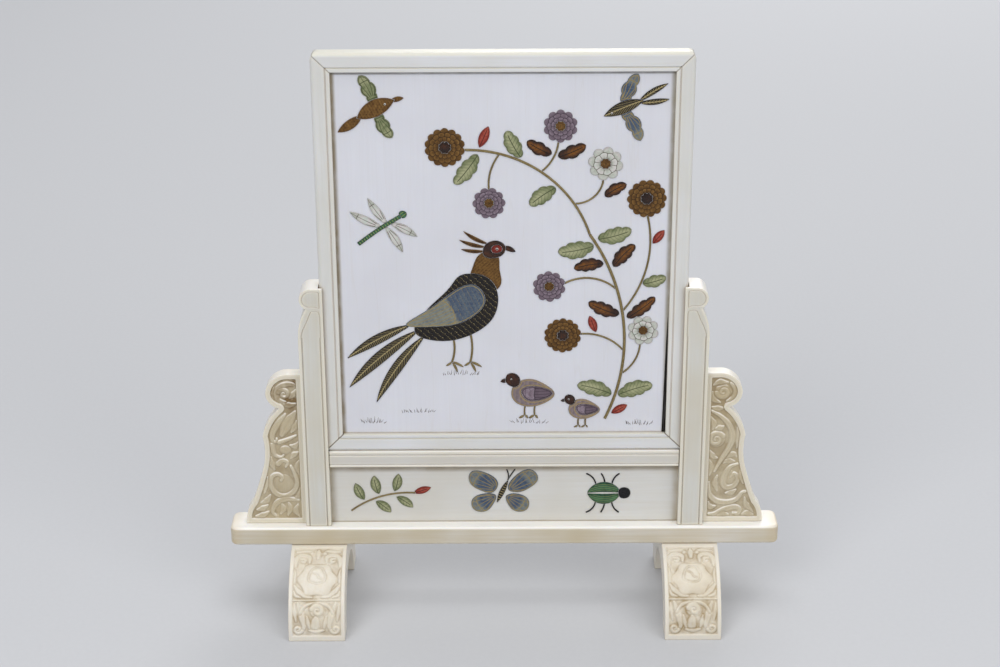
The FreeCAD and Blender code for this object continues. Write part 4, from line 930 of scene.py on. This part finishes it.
def grain_of(spots, root):
    """Gives how far spots lie along and across a part, with its length and half width.

    The part starts at the end next to its root, or at its middle without one, and its bend is taken out.
    """
    middle = (spots.min(0) + spots.max(0)) / 2
    if root is None:
        reach = np.hypot(*(spots - middle).T).max()
        return spots[:, 1] - middle[1], spots[:, 0] - middle[0], 2 * reach, np.full(len(spots), reach)
    spread, axes = np.linalg.eigh(np.cov((spots - middle).T))
    axis = axes[:, 1]
    along = (spots - middle) @ axis
    ends = [spots[along.argmin()], spots[along.argmax()]]
    gaps = [np.hypot(*(root - end).T).min() for end in ends]
    if gaps[1] < gaps[0]:
        axis = -axis
    along, across = (spots - middle) @ axis, (spots - middle) @ np.array([-axis[1], axis[0]])
    along -= along.min()
    length = along.max()
    count = int(np.clip(length, 3, 12))
    bins = np.clip((along / length * count).astype(int), 0, count - 1)
    edges = [(across[bins == place].min(), across[bins == place].max()) for place in range(count)]
    centres = (np.arange(count) + 0.5) / count * length
    bend = np.polyfit(centres, [(low + high) / 2 for low, high in edges], min(3, count - 2))
    half = np.interp(along, centres, [max((high - low) / 2, 0.3) for low, high in edges])
    return along, across - np.polyval(bend, along), length, half


def engrave(part, pattern, root, outlined, edge_drop=0.07, edge_width=0.22, cut_depth=0.1):
    """Rounds the edge of an inlaid part and cuts its pattern, and an outline or not, into its front."""
    places, normals = read(part)
    front = normals[:, 1] < -0.6
    side = np.abs(normals[:, 1]) <= 0.6
    rim = reach_to(places[front] * (1, 0, 1), places[side] * (1, 0, 1))
    cut, lift, shade = pattern(*grain_of(places[front][:, [0, 2]], root))
    if outlined:
        line_inset, line_width = 0.42, 0.16
        cut = np.maximum(cut, np.exp(-((rim - line_inset) / line_width) ** 2))
    inner = ease(rim, 0.0, edge_width)
    places[front, 1] += edge_drop * (1 - inner) - lift * inner + cut_depth * cut * inner
    engraved, shades, rims = np.zeros(len(places)), np.zeros(len(places)), np.ones(len(places))
    engraved[front] = cut * ease(rim, 0.0, 0.25)
    shades[front] = shade
    rims[front] = 1 - ease(rim, 0.0, 0.9)
    write(part, places, engraved=engraved, shade=shades, rim=rims)


OUTLINED = {"pheasant_wing", "quail_bodies", "quail_wings", "butterfly_wings", "finch_wings", "swallow_wings"}


def inlay(name, pattern, root=None, voxel=0.17):
    """Makes the inlay of a node: each of its parts rounded and engraved, then joined again."""
    piece = close_copy(name, f"{name}_engraved")
    with edit_mode():
        bpy.ops.mesh.separate(type="LOOSE")
    parts = list(bpy.context.selected_objects)
    roots = None
    if root:
        roots = np.array([(vertex.co.x / MM, vertex.co.z / MM) for vertex in nodes[root].data.vertices])
    for part in parts:
        remesh(part, voxel)
        engrave(part, pattern, roots, name in OUTLINED)
    pick(piece)
    for part in parts:
        part.select_set(True)
    if len(parts) > 1:
        bpy.ops.object.join()
    low_picture = name.startswith(("sprig", "butterfly", "beetle"))
    dress(piece, INLAY_FINISHES[SLOTS[name]], "stand" if low_picture else "screen", SLOTS[name], name)


for name, pattern, root in (
    ("sprig_stem", wire, "sprig_leaves"), ("sprig_leaves", veins, "sprig_stem"),
    ("sprig_buds", veins, "sprig_stem"), ("butterfly_body", ribs, "lower_panel"),
    ("butterfly_wings", fan, "butterfly_body"), ("beetle_shell", wing_case, "beetle_head"),
    ("beetle_head", wire, "beetle_shell"), ("beetle_legs", wire, "beetle_shell"),
    ("branch_stems", wire, "main_panel"), ("gold_blossoms", petals(14, 3), None),
    ("lilac_blossoms", petals(10, 3), None), ("pearl_blossoms", petals(8, 2), None),
    ("dark_hearts", seeds, None), ("gold_hearts", seeds, None), ("coral_buds", veins, "branch_stems"),
    ("green_leaves", veins, "branch_stems"), ("brown_leaves", veins, "branch_stems"),
    ("pheasant_body", scales, "pheasant_neck"), ("pheasant_wing", flight, "pheasant_neck"),
    ("pheasant_neck", down, "pheasant_head"), ("pheasant_head", wire, "pheasant_neck"),
    ("pheasant_face", seeds, None), ("pheasant_crest", barbs, "pheasant_head"),
    ("pheasant_tail", barbs, "pheasant_body"), ("pheasant_legs", wire, "pheasant_body"),
    ("quail_bodies", scales, "quail_heads"), ("quail_wings", flight, "quail_heads"),
    ("quail_heads", wire, "quail_bodies"), ("quail_legs", wire, "quail_bodies"),
    ("swallow_body", barbs, "swallow_wings"), ("swallow_wings", fan, "swallow_body"),
    ("finch_body", down, "finch_wings"), ("finch_wings", fan, "finch_body"),
    ("dragonfly_body", ribs, "dragonfly_wings"), ("dragonfly_wings", fan, "dragonfly_body"),
):
    inlay(name, pattern, root)


def eye(across, up, radius, depth, slot):
    """A small round bead let into a bird's head, at a place across and up the field."""
    bpy.ops.object.select_all(action="DESELECT")
    bpy.ops.mesh.primitive_uv_sphere_add(segments=20, ring_count=10, radius=MM)
    bead = bpy.context.object
    bead.name = "eye"
    with edit_mode():
        bpy.ops.transform.resize(value=(radius, depth, radius))
        bpy.ops.transform.translate(value=(across * MM, INLAY_FRONT * MM, (FIELD_LOW + up) * MM))
    bpy.ops.object.shade_smooth()
    dress(bead, INLAY_FINISHES[slot], "screen", slot)


def grass(tufts, blades=17, thick=0.13, thin=0.04, sunk=0.02):
    """Fine blades of grass scratched into the panel in low tufts, each at a place and of a width."""
    chance = np.random.default_rng(4)
    piece = new_piece("grass_blades", bpy.data.meshes.new("grass_blades"))
    with edit_mode():
        for across, up, width in tufts:
            for share in np.linspace(-0.5, 0.5, blades):
                lean = math.radians(70 * share + chance.uniform(-25, 25))
                length = chance.uniform(1.1, 2.3) * (1.2 - abs(share))
                foot = across + width * share + chance.uniform(-0.3, 0.3), up + chance.uniform(-0.35, 0.35)
                middle = (foot[0] + math.sin(lean) * length / 2, sunk - FIELD_FACE,
                          FIELD_LOW + foot[1] + math.cos(lean) * length / 2)
                bpy.ops.mesh.primitive_cone_add(vertices=5, radius1=thick * MM, radius2=thin * MM,
                                                depth=length * MM, rotation=(0, lean, 0),
                                                location=[value * MM for value in middle])
    dress(piece, INLAY_FINISHES["tortoiseshell"], "screen", "tortoiseshell")


eye(-2.5, 78.3, 0.55, 0.2, "pearl_shell")
eye(-2.5, 78.3, 0.4, 0.3, "black_horn")
for across, up in ((2.9, 23.5), (25.6, 14.7), (-44.0, 136.1), (40.6, 132.3)):
    eye(across, up, 0.42, 0.18, "pearl_shell")
    eye(across, up, 0.27, 0.26, "black_horn")
grass([(-17.0, 25.4, 14), (-34.0, 9.0, 12), (10.0, 4.2, 13), (53.5, 3.4, 10), (-52.0, 4.6, 9)])


# Studio: the lamps' places and sizes are in metres and their power in watts

LAMPS = (("key", (-0.75, -1.25, 1.3), 0.9, 11), ("cut_shade_tone", (1.1, -1.1, 0.8), 1.0, 7.3),
         ("top", (0.0, -0.1, 2.6), 2.0, 27), ("back", (0.4, 1.6, 1.0), 1.2, 11))
LAMP_AIM = 0.11
CAMERA_PLACE, CAMERA_PITCH, CAMERA_ROLL = (-1.48, -728.4, 430.8), 23.177, 0.224
SENSOR_WIDTH, LENS = 36.0, 72.83


def studio():
    """A floor of pale matt paper, large soft lamps, a pale sky and a camera at the photograph's angle."""
    bpy.ops.object.select_all(action="DESELECT")
    bpy.ops.mesh.primitive_plane_add(size=24)
    floor = bpy.context.object
    floor.name = "floor"
    material, add, shader, place = new_material("matt paper floor")
    shade = add("TexNoise", {"Vector": place, "Scale": per(2.0), "Detail": 2.0})
    shade = add("MixRGB", [shade, linear("#c4c5c8"), linear("#c8c9cc")])
    feed(shader, {"Base Color": shade, "Roughness": 0.9})
    floor.data.materials.append(material)
    for label, spot, size, power in LAMPS:
        bpy.ops.object.light_add(type="AREA", location=spot)
        lamp = bpy.context.object
        lamp.name = f"{label}_lamp"
        lamp.data.size = size
        lamp.data.energy = power
        aim = lamp.location * -1
        aim.z += LAMP_AIM
        lamp.rotation_euler = aim.to_track_quat("-Z", "Y").to_euler()
    scene = bpy.context.scene
    scene.world = scene.world or bpy.data.worlds.new("studio")
    scene.world.use_nodes = True
    sky = next(node for node in scene.world.node_tree.nodes if node.type == "BACKGROUND")
    feed(sky, {"Color": linear("#e6e8ec"), "Strength": 0.42})
    bpy.ops.object.camera_add(location=[value * MM for value in CAMERA_PLACE])
    camera = bpy.context.object
    pitch, roll = math.radians(CAMERA_PITCH), math.radians(CAMERA_ROLL)
    turn = Matrix.Rotation(math.pi / 2 - pitch, 3, "X") @ Matrix.Rotation(-roll, 3, "Z")
    camera.rotation_euler = turn.to_euler()
    camera.data.sensor_width = SENSOR_WIDTH
    camera.data.lens = LENS
    scene.camera = camera
    scene.view_settings.view_transform = "Standard"


studio()
